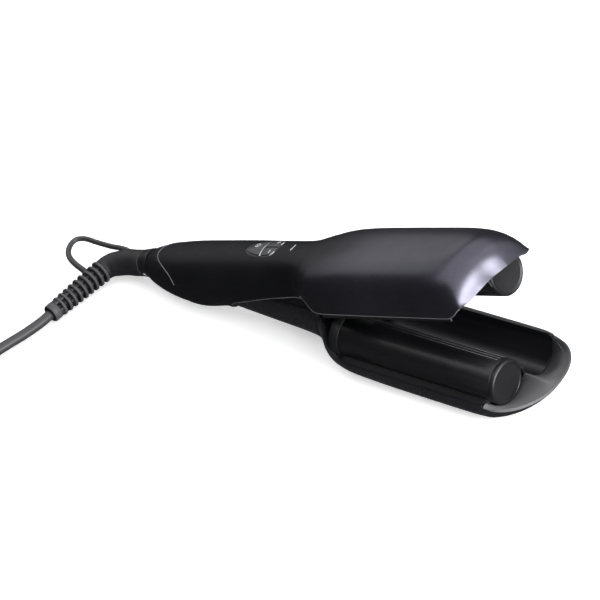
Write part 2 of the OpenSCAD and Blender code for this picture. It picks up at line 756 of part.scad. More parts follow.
loop_way = [
    arm_point(-90, 3, -11.5), arm_point(-96, 6, -11.2), arm_point(-102.8, 6.7, -11.7),
    arm_point(-110, 6.6, -12.5),
    arm_point(-118, 7.3, -13.5), arm_point(-125, 7.9, -14.2), arm_point(-131, 8.5, -14.6),
    arm_point(-136, 8.4, -15), arm_point(-139.4, 6.5, -15), arm_point(-140.3, 3.4, -15),
    arm_point(-139.2, -0.4, -15), arm_point(-137.2, -3.9, -15), arm_point(-134, -7.2, -15),
    arm_point(-129.2, -10.2, -15.2), arm_point(-123, -12.5, -15.5), arm_point(-116.6, -14.2, -15.9),
    arm_point(-110.5, -15.8, -16.1)
];
module hang_loop() {
    way = curve(loop_way, 2);
    last = len(way) - 1;
    color("#4c4c52") difference() {
        tube(way, [for (i = [0 : last]) loop_d / 2 + 0.4 * pow(i / last, 3)], 8);
        boot_form();
        relief_place() cylinder(h = 60, r = rib_r(1) - 1.2);
    }
}
module relief_place() {
    turn = atan2(relief_dir[1], relief_dir[0]);
    tilt = acos(relief_dir[2]);
    translate(relief_start) rotate([0, 0, turn]) rotate([0, tilt, 0]) children();
}
rib_t0 = 1.9;
function rib_r(i) = 6.3 - 1.3 * i / rib_count;
ferrule_len = 5;
relief_len = rib_count * rib_pitch + ferrule_len;
module strain_relief() {
    color("#55555b") relief_place() {
        cylinder(h = relief_len - 1, d = cord_d - 0.2);
        translate([0, 0, 0.1]) cylinder(h = rib_t0, r = rib_r(0));
        for (i = [1 : rib_count - 1]) translate([0, 0, i * rib_pitch]) cylinder(h = rib_t0, r = rib_r(i));
        for (side = [0, 180]) rotate([0, 0, side])
            translate([rib_r(rib_count) - 2.2, -2.2, 0.5]) cube([1.6, 4.4, relief_len - ferrule_len]);
        for (i = [0 : rib_count - 1]) if (i % 2 == 0) for (side = [90, 270]) rotate([0, 0, side])
            translate([rib_r(rib_count) - 2.6, -2, i * rib_pitch + 0.5]) cube([1.4, 4, rib_pitch]);
        translate([0, 0, rib_count * rib_pitch]) cylinder(h = ferrule_len, r = rib_r(rib_count));
    }
}

// ---- Cord, coil and plug ----
cord_r = cord_d / 2;
tie_t = 0.6;
tie_gap = 0.35;
coil_pitch = cord_d + 0.5;
coil_lift = cord_r + tie_t + tie_gap;
cord_start = relief_start + relief_dir * relief_len;
coil_entry = [-119 - middle_x, -104, coil_lift];
cord_way = [
    cord_start, arm_point(-109.2, -59, -18.4), arm_point(-112, -70, coil_lift - jaw_depth),
    arm_point(-115.2, -81, coil_lift - jaw_depth), arm_point(-118, -91.5, coil_lift - jaw_depth),
    arm_point(-118.98, -99, coil_lift - jaw_depth), coil_entry + [0, 0.1, 0]
];
module cord() {
    way = curve(cord_way, 2);
    color("#3f3f44") difference() {
        tube(way, same(cord_r, way), 8);
        relief_place() cylinder(h = relief_len, r = cord_d);
    }
}
coil_half = (coil_turns - 0.5) / 2;
coil_out = 47.2;
coil_in = coil_out - coil_pitch * coil_half;
coil_mid = coil_entry + [-coil_out, -cord_d, 0];
coil_dip = coil_pitch / (2 * PI);
function coil_radius(t) =
    t <= coil_half ? coil_out - coil_pitch * t
    : t < coil_half + 0.5 ? coil_in - coil_dip * sin(360 * (t - coil_half))
    : coil_in + coil_pitch * (t - coil_half - 0.5);
function coil_climb(t) = (1 - cos(360 * (t - coil_half))) / 2;
function coil_height(t) = coil_pitch * (t <= coil_half ? 0 : t >= coil_half + 0.5 ? 1 : coil_climb(t));
loop_rings = 24;
function coil_point(t) =
    coil_mid + [coil_radius(t) * cos(-360 * t), coil_radius(t) * sin(-360 * t), coil_height(t)];
lead_out = 18;
coil_end = coil_point(coil_turns) + lead_out * [0, 1, 0];
coil_way = concat([coil_entry], [for (k = [0 : coil_turns * loop_rings]) coil_point(k / loop_rings)],
    [coil_end - lead_out / 2 * [0, 1, 0], coil_end]);
// Least gap between turns, measured between points at least half a turn apart
coil_gap = min([
    for (i = [0 : len(coil_way) - 1])
        for (j = [i + loop_rings / 2 : len(coil_way) - 1])
            norm(coil_way[i] - coil_way[j])
]) - cord_d;
echo(coil_gap = coil_gap);
coil_length = 2 * PI * (coil_out + coil_in) / 2 * 2 * coil_half + PI * coil_in + cord_d + lead_out;
echo(coil_length = coil_length);
module cord_coil() {
    color("#3f3f44") tube(coil_way, same(cord_r, coil_way), 6);
}
tie_w = 8;
module tie_frame(grow) {
    span = coil_pitch * coil_half + cord_d + 2 * (tie_gap + grow);
    height = coil_pitch + cord_d + 2 * (tie_gap + grow);
    translate([coil_in - cord_r - tie_gap - grow, -tie_w / 2 - (grow > 0 ? 0 : 1), -cord_r - tie_gap - grow])
        cube([span, tie_w + (grow > 0 ? 0 : 2), height]);
}
module coil_tie() {
    color("#2c2c30") translate(coil_mid) rotate([0, 0, -60]) difference() {
        tie_frame(tie_t);
        tie_frame(0);
    }
}
plug_place_z = coil_lift + coil_pitch;
plug_len = 44;
plug_w = 36;
module plug_section(y, w, h, r) {
    translate([0, y, 0]) rotate([-90, 0, 0]) linear_extrude(0.1)
        hull() for (sx = [-1, 1]) for (sz = [-1, 1])
            translate([sx * (w / 2 - r), sz * (h / 2 - r)]) circle(r, $fn = 24);
}
module plug_body() {
    color("#2e2e33") translate([coil_end[0], coil_end[1], plug_place_z]) {
        hull() {
            translate([0, 0, 0]) rotate([-90, 0, 0]) cylinder(h = 1, d = cord_d + 4, $fn = 24);
            plug_section(14, 15, 14, 6);
        }
        hull() {
            plug_section(14, 15, 14, 6);
            plug_section(26, plug_w - 6, 2 * plug_place_z - 1, 8);
        }
        hull() {
            plug_section(26, plug_w - 6, 2 * plug_place_z - 1, 8);
            plug_section(30, plug_w, 2 * plug_place_z, 9);
        }
        hull() {
            plug_section(30, plug_w, 2 * plug_place_z, 9);
            plug_section(plug_len - 0.1, plug_w, 2 * plug_place_z, 9);
        }
    }
}
pin_gap = 19;
module plug_pins() {
    color("silver") translate([coil_end[0], coil_end[1] + plug_len, plug_place_z])
        for (side = [-1, 1])
            translate([side * pin_gap / 2, 0, 0]) rotate([-90, 0, 0]) rotate_extrude($fn = 32)
            polygon([[0, 0], [2.4, 0], [2.4, 17.6], [1.4, 19], [0, 19]]);
}

top_cover();
belly_cover();
rear_cap();
control_bezel();
power_button();
minus_button();
plus_button();
light_guide();
control_board();
upper_carrier();
upper_plate();
upper_barrel_cap();
upper_heater();
carrier_screws();
hinge_pin();
hinge_spring();
lower_shell();
tip_lip();
lower_carrier();
lower_plate();
lower_barrel_cap();
lower_heater();
case_screws();
lock_ring();
lock_bar();
swivel_stem();
cord_boot();
hang_loop();
strain_relief();
cord();
cord_coil();
coil_tie();
plug_body();
plug_pins();
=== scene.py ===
import bmesh
import bpy
import json
import math
import numpy as np
from mathutils import Matrix, Vector


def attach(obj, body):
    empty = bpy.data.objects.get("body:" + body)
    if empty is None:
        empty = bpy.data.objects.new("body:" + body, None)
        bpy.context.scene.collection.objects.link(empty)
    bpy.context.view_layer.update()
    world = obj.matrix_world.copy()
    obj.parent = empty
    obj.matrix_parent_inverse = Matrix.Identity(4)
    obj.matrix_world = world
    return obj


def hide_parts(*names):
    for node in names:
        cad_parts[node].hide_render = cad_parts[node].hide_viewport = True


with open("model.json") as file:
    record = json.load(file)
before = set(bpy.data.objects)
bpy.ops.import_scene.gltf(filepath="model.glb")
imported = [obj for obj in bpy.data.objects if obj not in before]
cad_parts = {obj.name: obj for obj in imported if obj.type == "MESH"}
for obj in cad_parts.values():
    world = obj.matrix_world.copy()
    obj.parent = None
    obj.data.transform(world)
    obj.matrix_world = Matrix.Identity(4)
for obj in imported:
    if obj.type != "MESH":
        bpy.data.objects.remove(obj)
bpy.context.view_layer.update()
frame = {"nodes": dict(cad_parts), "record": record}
nodes = frame["nodes"]
scene = bpy.context.scene
body_of = {n: b for b, ns in frame["record"]["behaviour"]["bodies"].items() for n in ns}

# ---- Places: millimetres in an arm's own axes, turned into metres in the tool's frame ----
MIDDLE = 68.162
DEPTH = 23.0
OPEN = math.radians(15)


def low(p):
    """A point of the lower arm, or of anything that lies on the table."""
    p = np.asarray(p, float)
    return (p + [-MIDDLE, 0, DEPTH]) / 1000


def up(p):
    """A point of the upper arm, which stands open."""
    p = np.asarray(p, float)
    x, y, z = p[..., 0], p[..., 1], p[..., 2]
    c, s = math.cos(OPEN), math.sin(OPEN)
    return low(np.stack([x * c - z * s, y, x * s + z * c], -1))


def unit(v):
    v = np.asarray(v, float)
    return v / np.linalg.norm(v, axis=-1, keepdims=True)


def between(a, b, c, d, t):
    """The smooth curve's point at share t of the way from b to c."""
    return 0.5 * (2 * b + (c - a) * t + (2 * a - 5 * b + 4 * c - d) * t * t + (3 * b - a - 3 * c + d) * t ** 3)


def eased(rows, m):
    """A smooth curve through the rows, with m steps between each two of them."""
    s = [np.asarray(r, float) for r in rows]
    n = len(s)
    out = [between(s[max(i - 1, 0)], s[i], s[i + 1], s[min(i + 2, n - 1)], k / m)
           for i in range(n - 1) for k in range(m)]
    return np.array(out + [s[-1]])


# ---- Meshes ----
made = {}


def piece(name, verts, faces, body, replaces=(), smooth=True):
    """An object of its own, which rides on a body and stands for the frame's nodes that it replaces."""
    me = bpy.data.meshes.new(name)
    me.from_pydata([tuple(v) for v in verts], [], [tuple(int(i) for i in f) for f in faces])
    me.validate()
    me.update()
    o = bpy.data.objects.new(name, me)
    scene.collection.objects.link(o)
    if smooth:
        me.shade_smooth()
    if body:
        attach(o, body)
    if replaces:
        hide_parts(*replaces)
        made[o] = replaces[0]
    return o


def grid_faces(rows, cols, wrap=False):
    """The faces of a grid of points; wrap joins each row's end to its start."""
    last = cols if wrap else cols - 1
    return [(i * cols + j, i * cols + (j + 1) % cols, (i + 1) * cols + (j + 1) % cols, (i + 1) * cols + j)
            for i in range(rows - 1) for j in range(last)]


def loft(name, rings, body, replaces=()):
    """A closed skin through rings of points, with flat ends."""
    rings = np.asarray(rings, float)
    r, n, _ = rings.shape
    ends = [tuple(range(n - 1, -1, -1)), tuple(range((r - 1) * n, r * n))]
    return piece(name, rings.reshape(-1, 3), grid_faces(r, n, True) + ends, body, replaces)


def heading(p):
    """The unit direction of a row of points at each of them."""
    return unit(np.vstack([p[1] - p[0], p[2:] - p[:-2], p[-1] - p[-2]]))


def tube_rings(points, radii, n):
    """Rings of n points square to a way through points."""
    p = np.asarray(points, float)
    t = heading(p)
    side = unit(np.cross([0.0, 0.0, 1.0], t))
    lift = np.cross(t, side)
    a = np.arange(n) * 2 * math.pi / n
    r = np.broadcast_to(np.asarray(radii, float), (len(p),))[:, None, None]
    return p[:, None] + r * (np.cos(a)[None, :, None] * side[:, None] + np.sin(a)[None, :, None] * lift[:, None])


def tube(name, points, radii, n, body, replaces=()):
    return loft(name, tube_rings(points, radii, n), body, replaces)


# ---- Camera ----
EYE = (1.16331773, -0.99943272, 1.12299416)
cam_data = bpy.data.cameras.new("camera")
cam_data.lens = 207.36
cam_data.sensor_width = 36
cam_data.clip_start = 0.05
camera = bpy.data.objects.new("camera", cam_data)
scene.collection.objects.link(camera)
right = Vector((0.74874403, 0.61424046, -0.24918074))
above = Vector((-0.22498731, 0.58909968, 0.77610713))
toward = Vector((-0.6235087, 0.52504307, -0.57928117))
turn = Matrix((right, above, -toward)).transposed().to_4x4()
camera.matrix_world = Matrix.Translation(EYE) @ turn
scene.camera = camera

# ---- Cord: from the relief's end to the plug, with its put-away coil ----
CORD_R = 3.0
RIBS, RIB_PITCH = 9, 4.1
RELIEF_LEN = RIBS * RIB_PITCH + 5
relief_start = np.array([-103.5, -11, -15.7])
relief_dir = unit([-0.117, -0.992, -0.05])
cord_start = relief_start + relief_dir * RELIEF_LEN
LIFT = CORD_R + 0.6 + 0.35 - DEPTH
PITCH = 6.5                     # from one turn of the coil to the next
TURNS_IN = 3.5                  # turns of the lower layer, which runs inwards
TURNS, STEPS = 7.5, 24          # all turns, and points in each
OUT = 47.2
IN = OUT - PITCH * TURNS_IN
entry = np.array([-119, -104, LIFT])
way = [cord_start, (-109.2, -59, -18.4), (-112, -70, LIFT), (-115.2, -81, LIFT), (-118, -91.5, LIFT),
       (-118.98, -99, LIFT), entry]
coil_mid = entry + [-OUT, -6, 0]


def coil_point(t):
    """A point of the coil after t turns: inwards on the table, over to a second layer, and out again on top."""
    u = t - TURNS_IN
    radius = OUT - PITCH * t if t <= TURNS_IN else (
        IN - PITCH / (2 * math.pi) * math.sin(2 * math.pi * u) if u < 0.5 else IN + PITCH * (u - 0.5))
    climb = 0 if u <= 0 else 1 if u >= 0.5 else (1 - math.cos(2 * math.pi * u)) / 2
    a = -2 * math.pi * t
    return coil_mid + [radius * math.cos(a), radius * math.sin(a), PITCH * climb]


coil = [coil_point(k / STEPS) for k in range(int(TURNS * STEPS) + 1)]
coil_end = coil[-1] + [0, 18, 0]
cord_path = low(np.vstack([eased(way, 4), coil, coil[-1] + [0, 9, 0], coil_end]))
cord = tube("cord_run", cord_path, CORD_R / 1000, 16, "cord_swivel", ["cord", "cord_coil"])
low(cord_start)


# ---- Mouldings: stations eased into sections along an arm ----
class Form:
    """A moulding's outside, from stations along it.

    A station is x, half width, top, widest height, bottom, power above, power below and, where it differs, the far half width.
    """

    def __init__(self, stations, m=8):
        self.rows = eased([s if len(s) == 8 else (*s, s[1]) for s in stations], m)

    def at(self, x):
        return [float(np.interp(x, self.rows[:, 0], self.rows[:, k])) for k in range(1, 8)]

    @staticmethod
    def around(p, a):
        half, top, mid, bottom, above_p, below_p, far_half = p
        c, s = np.cos(a), np.sin(a)
        power = 2 / np.where(s >= 0, above_p, below_p)
        y = np.where(c > 0, far_half, half) * np.sign(c) * np.abs(c) ** power
        z = mid + np.where(s >= 0, top - mid, mid - bottom) * np.sign(s) * np.abs(s) ** power
        return y, z

    @staticmethod
    def edge_angle(p, z):
        _, top, mid, bottom, above_p, below_p, _ = p
        if z >= mid:
            return math.asin(min(1, (z - mid) / (top - mid)) ** (above_p / 2))
        return -math.asin(min(1, (mid - z) / (mid - bottom)) ** (below_p / 2))

    def arc(self, x, near, far, share, over=True):
        """Points of one section between two edge heights, spread by length: over the top or under the bottom."""
        p = self.at(x)
        a0 = math.pi - self.edge_angle(p, near)
        a1 = self.edge_angle(p, far) + (0 if over else 2 * math.pi)
        y, z = self.around(p, np.linspace(a0, a1, 500))
        run = np.concatenate([[0], np.cumsum(np.hypot(np.diff(y), np.diff(z)))])
        at = np.asarray(share) * run[-1]
        return np.stack([np.full(len(at), float(x)), np.interp(at, run, y), np.interp(at, run, z)], -1)

    def patch(self, xs, near, far, cols, over=True, warp=None):
        """Rows of points; near and far give the edges' heights at x, and warp moves a row to a slanted seam."""
        share = np.linspace(0, 1, cols)
        rows = []
        for x in xs:
            row = self.arc(x, near(x), far(x), share, over)
            if warp is not None:
                for _ in range(4):
                    where = [warp(x, q[2]) for q in row]
                    row = np.array([self.arc(w, near(w), far(w), [s], over)[0] for w, s in zip(where, share)])
            rows.append(row)
        return np.array(rows)


def line(points):
    """Height along x, through the points, with its corners rounded."""
    pts = np.asarray(points, float)
    xs = np.arange(pts[0, 0], pts[-1, 0] + 0.25, 0.25)
    ys = np.interp(xs, pts[:, 0], pts[:, 1])
    k = np.exp(-np.linspace(-2, 2, 17) ** 2)
    ys = np.convolve(np.pad(ys, 8, mode="edge"), k / k.sum(), "valid")
    return lambda x: float(np.interp(x, xs, ys))


def sheet_piece(name, rows, place, body, replaces=(), wall=1.8, edge=0.45, flip=False):
    """A moulded wall: a grid of points on its outside, thickened inwards, with rounded edges."""
    rows = np.asarray(rows, float)
    faces = grid_faces(rows.shape[0], rows.shape[1])
    if not flip:
        faces = [f[::-1] for f in faces]
    o = piece(name, place(rows.reshape(-1, 3)), faces, body, replaces)
    solid = o.modifiers.new("wall", "SOLIDIFY")
    solid.thickness = wall / 1000
    solid.offset = -1
    solid.use_even_offset = True
    if edge:
        round_edges(o, edge)
    return o


def round_edges(o, width, segments=2, angle=40):
    b = o.modifiers.new("edges", "BEVEL")
    b.width = width / 1000
    b.segments = segments
    b.limit_method = "ANGLE"
    b.angle_limit = math.radians(angle)
    b.harden_normals = True
    for f in o.data.polygons:
        f.use_smooth = True


def apply_all(o):
    bpy.context.view_layer.update()
    me = bpy.data.meshes.new_from_object(o.evaluated_get(bpy.context.evaluated_depsgraph_get()))
    o.modifiers.clear()
    o.data = me


def soften(node, width=0.15, angle=32):
    """A solid of the frame, taken over with its edges rounded."""
    src = nodes[node]
    me = src.data.copy()
    o = bpy.data.objects.new(node + "_soft", me)
    scene.collection.objects.link(o)
    bm = bmesh.new()
    bm.from_mesh(me)
    bmesh.ops.remove_doubles(bm, verts=bm.verts, dist=2e-6)
    bmesh.ops.dissolve_limit(bm, angle_limit=math.radians(0.6), verts=bm.verts, edges=bm.edges)
    bm.to_mesh(me)
    bm.free()
    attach(o, body_of[node])
    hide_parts(node)
    made[o] = node
    if width:
        round_edges(o, width, 2, angle)
    return o


# ---- Sizes of the arms ----
BARREL_R, TROUGH_R, TROUGH_OUT = 12.5, 13.0, 14.2
WAVE_Y = (BARREL_R + TROUGH_OUT) / 2
WAVE_Z = -3.0
PLATE_X0, PLATE_X1, BARREL_X1 = 93.0, 197.0, 200.0
JAW_HALF = 29.45
BELLY_Z = -16.0
BELLY_SEAM = BELLY_Z + 3.6
upper_form = Form([
    (-66, 9.4, 17.5, 8, -1.6, 2, 2), (-62, 11.2, 18.8, 8, -4.4, 2.05, 2), (-54, 13.5, 19.8, 7, -8.6, 2.2, 2),
    (-42, 15.8, 20.4, 5, -12.25, 2.4, 2), (-28, 17, 20.6, 4, BELLY_Z, 2.5, 2), (-8, 17, 20.9, 4, BELLY_Z + 0.6, 2.5, 2),
    (20, 17, 21, 4, -14, 2.5, 2.2), (50, 17, 20.8, 3, -14, 2.5, 2.4), (68, 18.4, 20.8, 2, -14, 2.5, 2.6),
    (79, 24.25, 21.3, 2, -14, 2.6, 2.8), (88, 28.55, 21.8, 1, -14, 2.7, 3), (100, 29.45, 22.6, 1, -14, 2.8, 3),
    (120, 29.45, 23.4, 1, -14, 2.8, 3), (170, 29.45, 23.65, 1, -14, 2.8, 3), (184, 29.4, 23.65, 1, -14, 2.7, 3),
    (191, 29.2, 23.65, 1, -14, 2.55, 3, 29.3), (196, 28.9, 23.1, 0.6, -14, 2.45, 3, 29.2),
    (200, 28.6, 21.5, 0, -14, 2.4, 3, 29),
    (203.5, 28.1, 18.3, -0.8, -14, 2.35, 3, 28.9), (206.3, 27.3, 12.8, -1.8, -14, 2.25, 3, 28.75),
    (208, 26.6, 4.8, -2.6, -14, 2.1, 3, 28.65)])
TIP_MID, TIP_R, LIP_OVER, CASE_MID = 190.0, 32.0, 1.5, -9.0


def far_cos(a):
    """The tip's far side, a little squarer than round."""
    return (1 - abs(math.sin(a)) ** 2.4) ** (1 / 2.4)


tip_stations = []
for a in map(math.radians, range(6, 85, 6)):
    tip_stations.append((
        TIP_MID + (TIP_R - LIP_OVER) * math.sin(a), JAW_HALF * math.cos(a), 5, CASE_MID + 0.6 * math.sin(a),
        CASE_MID - (DEPTH + CASE_MID) * math.cos(a) ** 1.4, 4, 3.4 - 1.5 * math.sin(a),
        JAW_HALF * far_cos(a) - 0.6 * LIP_OVER * math.sin(a)))
lower_form = Form([
    (4, 12.5, 6, -3, -12.8, 3.4, 3.2), (30, 12.5, 5.5, -4, -14.9, 3.2, 3), (62, 13.3, 5, -5, -16.4, 3, 3),
    (72, 16.5, 5, -7, -17.6, 3, 2.8), (79, 22.45, 5, -8, -19, 3, 2.6), (86, 26.25, 5, CASE_MID, -21, 3, 2.6),
    (95, 28.75, 5, CASE_MID, -22.6, 4, 2.6), (105, JAW_HALF, 5, CASE_MID, -23, 4, 2.8),
    (133, JAW_HALF, 5, CASE_MID, -23, 4, 3.3), (178, JAW_HALF, 5, CASE_MID, -23, 4, 3.5)] + tip_stations)

# ---- Upper arm ----
# the rear end cap's seam on the handle's side: height, and where along the arm it is
SEAM = ((-20, -34), (0, -35.2), (8, -36.4), (11, -37.2), (13.6, -39.6), (15.6, -43), (17.3, -47.6), (18.6, -51.8),
        (19.6, -54.4), (21, -56))
SEAM_GAP = 0.12
REAR_X, COVER_X0, STRAIGHT_X = -66, -56, -10


def seam_x(z):
    """Where the seam is at a height."""
    return float(np.interp(z, *zip(*SEAM)))


def cover_warp(x, z):
    """Rows of the cover and belly follow the seam at the rear and stand straight from STRAIGHT_X on."""
    start = seam_x(z) + SEAM_GAP
    return start + (x - COVER_X0) / (STRAIGHT_X - COVER_X0) * (STRAIGHT_X - start) if x < STRAIGHT_X else x


def cap_warp(x, z):
    """Rings of the rear end cap lean with the seam, more and more towards it."""
    end = seam_x(z) - SEAM_GAP
    return REAR_X + (x - REAR_X) / 30 * (end - REAR_X)


def relaxed(rows, start, rounds):
    """Rows of points evened out, more so from start on along the arm, with the borders kept."""
    pull = np.clip((rows[1:-1, 1:-1, :1] - start) / 30, 0, 0.5)
    for _ in range(rounds):
        around = (rows[2:, 1:-1] + rows[:-2, 1:-1] + rows[1:-1, 2:] + rows[1:-1, :-2]) / 4
        rows[1:-1, 1:-1] += pull * (around - rows[1:-1, 1:-1])
    return rows


# the cover's lower edges, with the notch over the hinge on the near side and a rise to the front corners
handle_edge = [(-80, BELLY_SEAM), (-8, BELLY_SEAM), (-4, -11), (5, -6.3), (34, -1.8), (67, 1.4)]
near_edge = line(handle_edge + [
    (72, 1.6), (75, 5), (78, 6.2), (82, 6), (85.5, 4.4), (87.5, 1.6), (90, -0.3), (96, -0.8), (128, -1.3), (180, -1.6),
    (195, -1.9), (200, -0.4), (204.5, 2.4), (206.5, 3), (230, 3)])
far_edge = line(handle_edge + [(80.5, 1.4), (85, 2.8), (90, 3), (200, 3), (204, 2.4), (208, 1.4), (230, 1.4)])
rows_x = np.concatenate([np.linspace(COVER_X0, STRAIGHT_X, 16), upper_form.rows[upper_form.rows[:, 0] > -9, 0]])
cover_rows = upper_form.patch(rows_x, near_edge, far_edge, 110, warp=cover_warp)
# the near front corner is set back: by how much, at each place across
TUCK_Y, TUCK = (-30, -24, -19, -10, -2, 4, 9), (4.5, 4.3, 3.8, 2.4, 1.8, 0.6, 0)
TUCK_X0, TUCK_RUN = 178, 30
tucked = np.interp(cover_rows[..., 1], TUCK_Y, TUCK)
cover_rows[..., 0] -= tucked * np.clip((cover_rows[..., 0] - TUCK_X0) / TUCK_RUN, 0, 1) ** 1.5
cover_rows = relaxed(cover_rows, 182, 50)
cover = sheet_piece("cover", cover_rows, up, "handle", ["top_cover"], edge=0)
# painted highlight: a thin light grey line along the cover's lower edge, standing for the light caught on its rounded
# edge
HIGHLIGHT_R = 0.0003
edge_highlight_line = cover_rows[(cover_rows[:, 0, 0] > -6) & (cover_rows[:, 0, 0] < 202), 0]
edge_highlight = tube("edge_highlight", up(edge_highlight_line + [0, 0.12, -0.12]), HIGHLIGHT_R, 10, "handle")
# a skirt under the cover's edge on the handle, which comes down further towards the hinge
skirt_rows = []
for x in np.linspace(36, 70, 18):
    y, z = 2 - upper_form.at(x)[0], near_edge(x)
    skirt_rows.append([(x, y, z + 2 - k * (3 + 5.5 * min(1, (x - 36) / 26))) for k in np.linspace(0, 1, 6)])
skirt = sheet_piece("handle_skirt", skirt_rows, up, "handle", wall=0.8, edge=0)


def belly_edge(_):
    """The belly's edge stands just under the seam, all along."""
    return BELLY_SEAM - 0.15


belly_rows = upper_form.patch(np.linspace(COVER_X0, STRAIGHT_X, 24), belly_edge, belly_edge, 40, False, cover_warp)
sheet_piece("belly", belly_rows, up, "handle", ["belly_cover"], edge=0.25, flip=True)

# ---- Hanging loop ----
loop_way = [(-90, 3, -11.5), (-96, 6, -11.2), (-102.8, 6.7, -11.7), (-110, 6.6, -12.5), (-118, 7.3, -13.5), (-125, 7.9, -14.2),
            (-131, 8.5, -14.6), (-136, 8.4, -15), (-139.4, 6.5, -15), (-140.3, 3.4, -15), (-139.2, -0.4, -15),
            (-137.2, -3.9, -15), (-134, -7.2, -15), (-129.2, -10.2, -15.2), (-123, -12.5, -15.5), (-116.6, -14.2, -15.9),
            (-110.5, -15.8, -16.1)]
loop_line = eased(loop_way, 6)
tube("hanging_loop", low(loop_line), (1.55 + 0.25 * np.linspace(0, 1, len(loop_line)) ** 3) / 1000, 20, "cord_swivel",
     ["hang_loop"])

# ---- Control field in the handle's back ----
HANDLE_TOP, BACK_R = 21.0, 28.0
FIELD_X, FIELD_LEN, FIELD_W = 34.0, 27.0, 17.5


def field_half(n=40):
    """The field's half outline, from its rear point to its curved front."""
    t = np.linspace(0, math.pi, n + 2)[1:-1]
    u = (1 - np.cos(t)) / 2
    wide = np.sin(t) ** (0.85 - 0.45 * u) * (0.64 + 0.42 * u)
    return np.stack([FIELD_X - FIELD_LEN / 2 + FIELD_LEN * u - 0.6 * (1 - u) * wide, FIELD_W / 2 * wide], -1)


def field_line(grow=0.0):
    """The field's whole outline, made larger by grow."""
    h = field_half()
    p = np.vstack([[FIELD_X - FIELD_LEN / 2, 0], h * [1, -1], [FIELD_X + FIELD_LEN / 2, 0], h[::-1]])
    along = unit(np.roll(p, -1, 0) - np.roll(p, 1, 0))
    return p + grow * np.stack([along[:, 1], -along[:, 0]], -1) + [0, 0.8]


def upright(outline, z0, z1):
    """An outline of (x, y) in the upper arm's frame, drawn up from z0 to z1."""
    p = np.asarray(outline, float)
    return np.array([np.column_stack([p, np.full(len(p), z)]) for z in (z0, z1)])


def cut(o, rings):
    """Cuts the rings' form out of a piece."""
    tool = loft("cutter", up(rings), None)
    apply_all(o)
    m = o.modifiers.new("cut", "BOOLEAN")
    m.operation, m.solver, m.object = "DIFFERENCE", "EXACT", tool
    apply_all(o)
    bpy.data.objects.remove(tool)


LIGHT_X, LIGHT_R, LIGHT_W = 58.2, 13.0, 0.9


def light_line(grow=0.0):
    """The light guide's outline: a narrow arc in front of the field."""
    a = np.radians(np.linspace(-6, 18, 16))
    sides = ((LIGHT_R + LIGHT_W + grow, a), (LIGHT_R - grow, a[::-1]))
    return [(LIGHT_X - LIGHT_R + r * math.cos(t), r * math.sin(t)) for r, angles in sides for t in angles]


CUT_FROM, CUT_TO = 16, 30
cut(cover, upright(field_line(0.12), CUT_FROM, CUT_TO))
cut(cover, upright(light_line(0.1), CUT_FROM, CUT_TO))
round_edges(cover, 0.3)


def closed_rows(form, xs, n, warp=None):
    """Whole rings of a moulding, moved to a slanted seam by warp."""
    half = n // 2
    shares = [(j / half, True) for j in range(half)] + [(1 - j / half, False) for j in range(half)]
    rows = []
    for x in xs:
        row = []
        for s, over in shares:
            w = x
            for _ in range(4 if warp else 1):
                p = form.at(w)
                q = form.arc(w, p[2], p[2], [s], over)[0]
                w = warp(x, q[2]) if warp else x
            row.append(q)
        rows.append(row)
    return np.array(rows)


# the rear end cap: a rounded end, and a front that steps in behind the seam
cap_rows = closed_rows(upper_form, np.linspace(REAR_X, REAR_X + 30, 16), 96, cap_warp)
for i, step_in in enumerate((0.007, 0.014, 0.021), 13):
    mid_row = cap_rows[i].mean(0)
    cap_rows[i, :, 1:] = mid_row[1:] + (cap_rows[i, :, 1:] - mid_row[1:]) * (1 - step_in)
ends = cap_rows[0]
mid_end = ends.mean(0)
back = [mid_end + (ends - mid_end) * k + [d, 0, 0] for k, d in ((0.86, -0.9), (0.95, -0.55))]
rear = loft("rear_end", up(np.concatenate([np.array(back), cap_rows])), "handle", ["rear_cap"])
round_edges(rear, 0.25)
seam_rows = closed_rows(upper_form, [COVER_X0 - 0.2, COVER_X0], 96, cover_warp)[1]
# painted highlight: a thin light grey line along the seam between the rear end cap and the cover
seam_highlight = tube("seam_highlight", up(seam_rows[2:47]), HIGHLIGHT_R, 10, "handle")

# ---- Lower arm ----
RIM_NEAR, RIM_FAR = -9.5, -1.0
LIP_Z, LIP_TILT = -6.6, 0.12
CUT_NEAR_X, CUT_FAR_X = 193, 201


def lip_level(x, side):
    """The case's edge under the lip, which tilts across the jaw."""
    half = lower_form.at(x)[0 if side < 0 else 6]
    return LIP_Z - 1.8 + LIP_TILT * side * half * 0.97


rim_near = line([(60, 4.6), (71, 4), (78, 2.5), (84, -3.5), (91, RIM_NEAR), (230, RIM_NEAR)])
rim_far = line([(60, 4.6), (71, 4), (78, 2.5), (84, 0.75), (91, RIM_FAR), (230, RIM_FAR)])


def tray_near(x):
    return rim_near(x) if x < CUT_NEAR_X else lip_level(x, -1)


def tray_far(x):
    return rim_far(x) if x < CUT_FAR_X else lip_level(x, 1)


form_x = lower_form.rows[:, 0]
tray_x = np.concatenate([np.linspace(66, 104, 24), form_x[(form_x > 105) & (form_x < 192)],
                         np.linspace(192.2, 200.8, 6), np.linspace(201.2, 220.4, 22)])
sheet_piece("jaw_case", lower_form.patch(tray_x, tray_near, tray_far, 90, False), low, "lower_jaw", ["lower_shell"],
            edge=0.45, flip=True)
lid_rows = []
for x in np.linspace(66, 87, 10):
    a = lower_form.arc(x, tray_near(x), tray_far(x), [0, 1], False)
    lid_rows.append([a[0] * (1 - k) + a[1] * k for k in np.linspace(0.02, 0.98, 9)])
sheet_piece("case_lid", lid_rows, low, "lower_jaw", ["lower_shell"], wall=1.2, edge=0.2)
loft("neck", low(closed_rows(lower_form, np.linspace(4, 70, 22), 48)), "lower_jaw", ["lower_shell"])


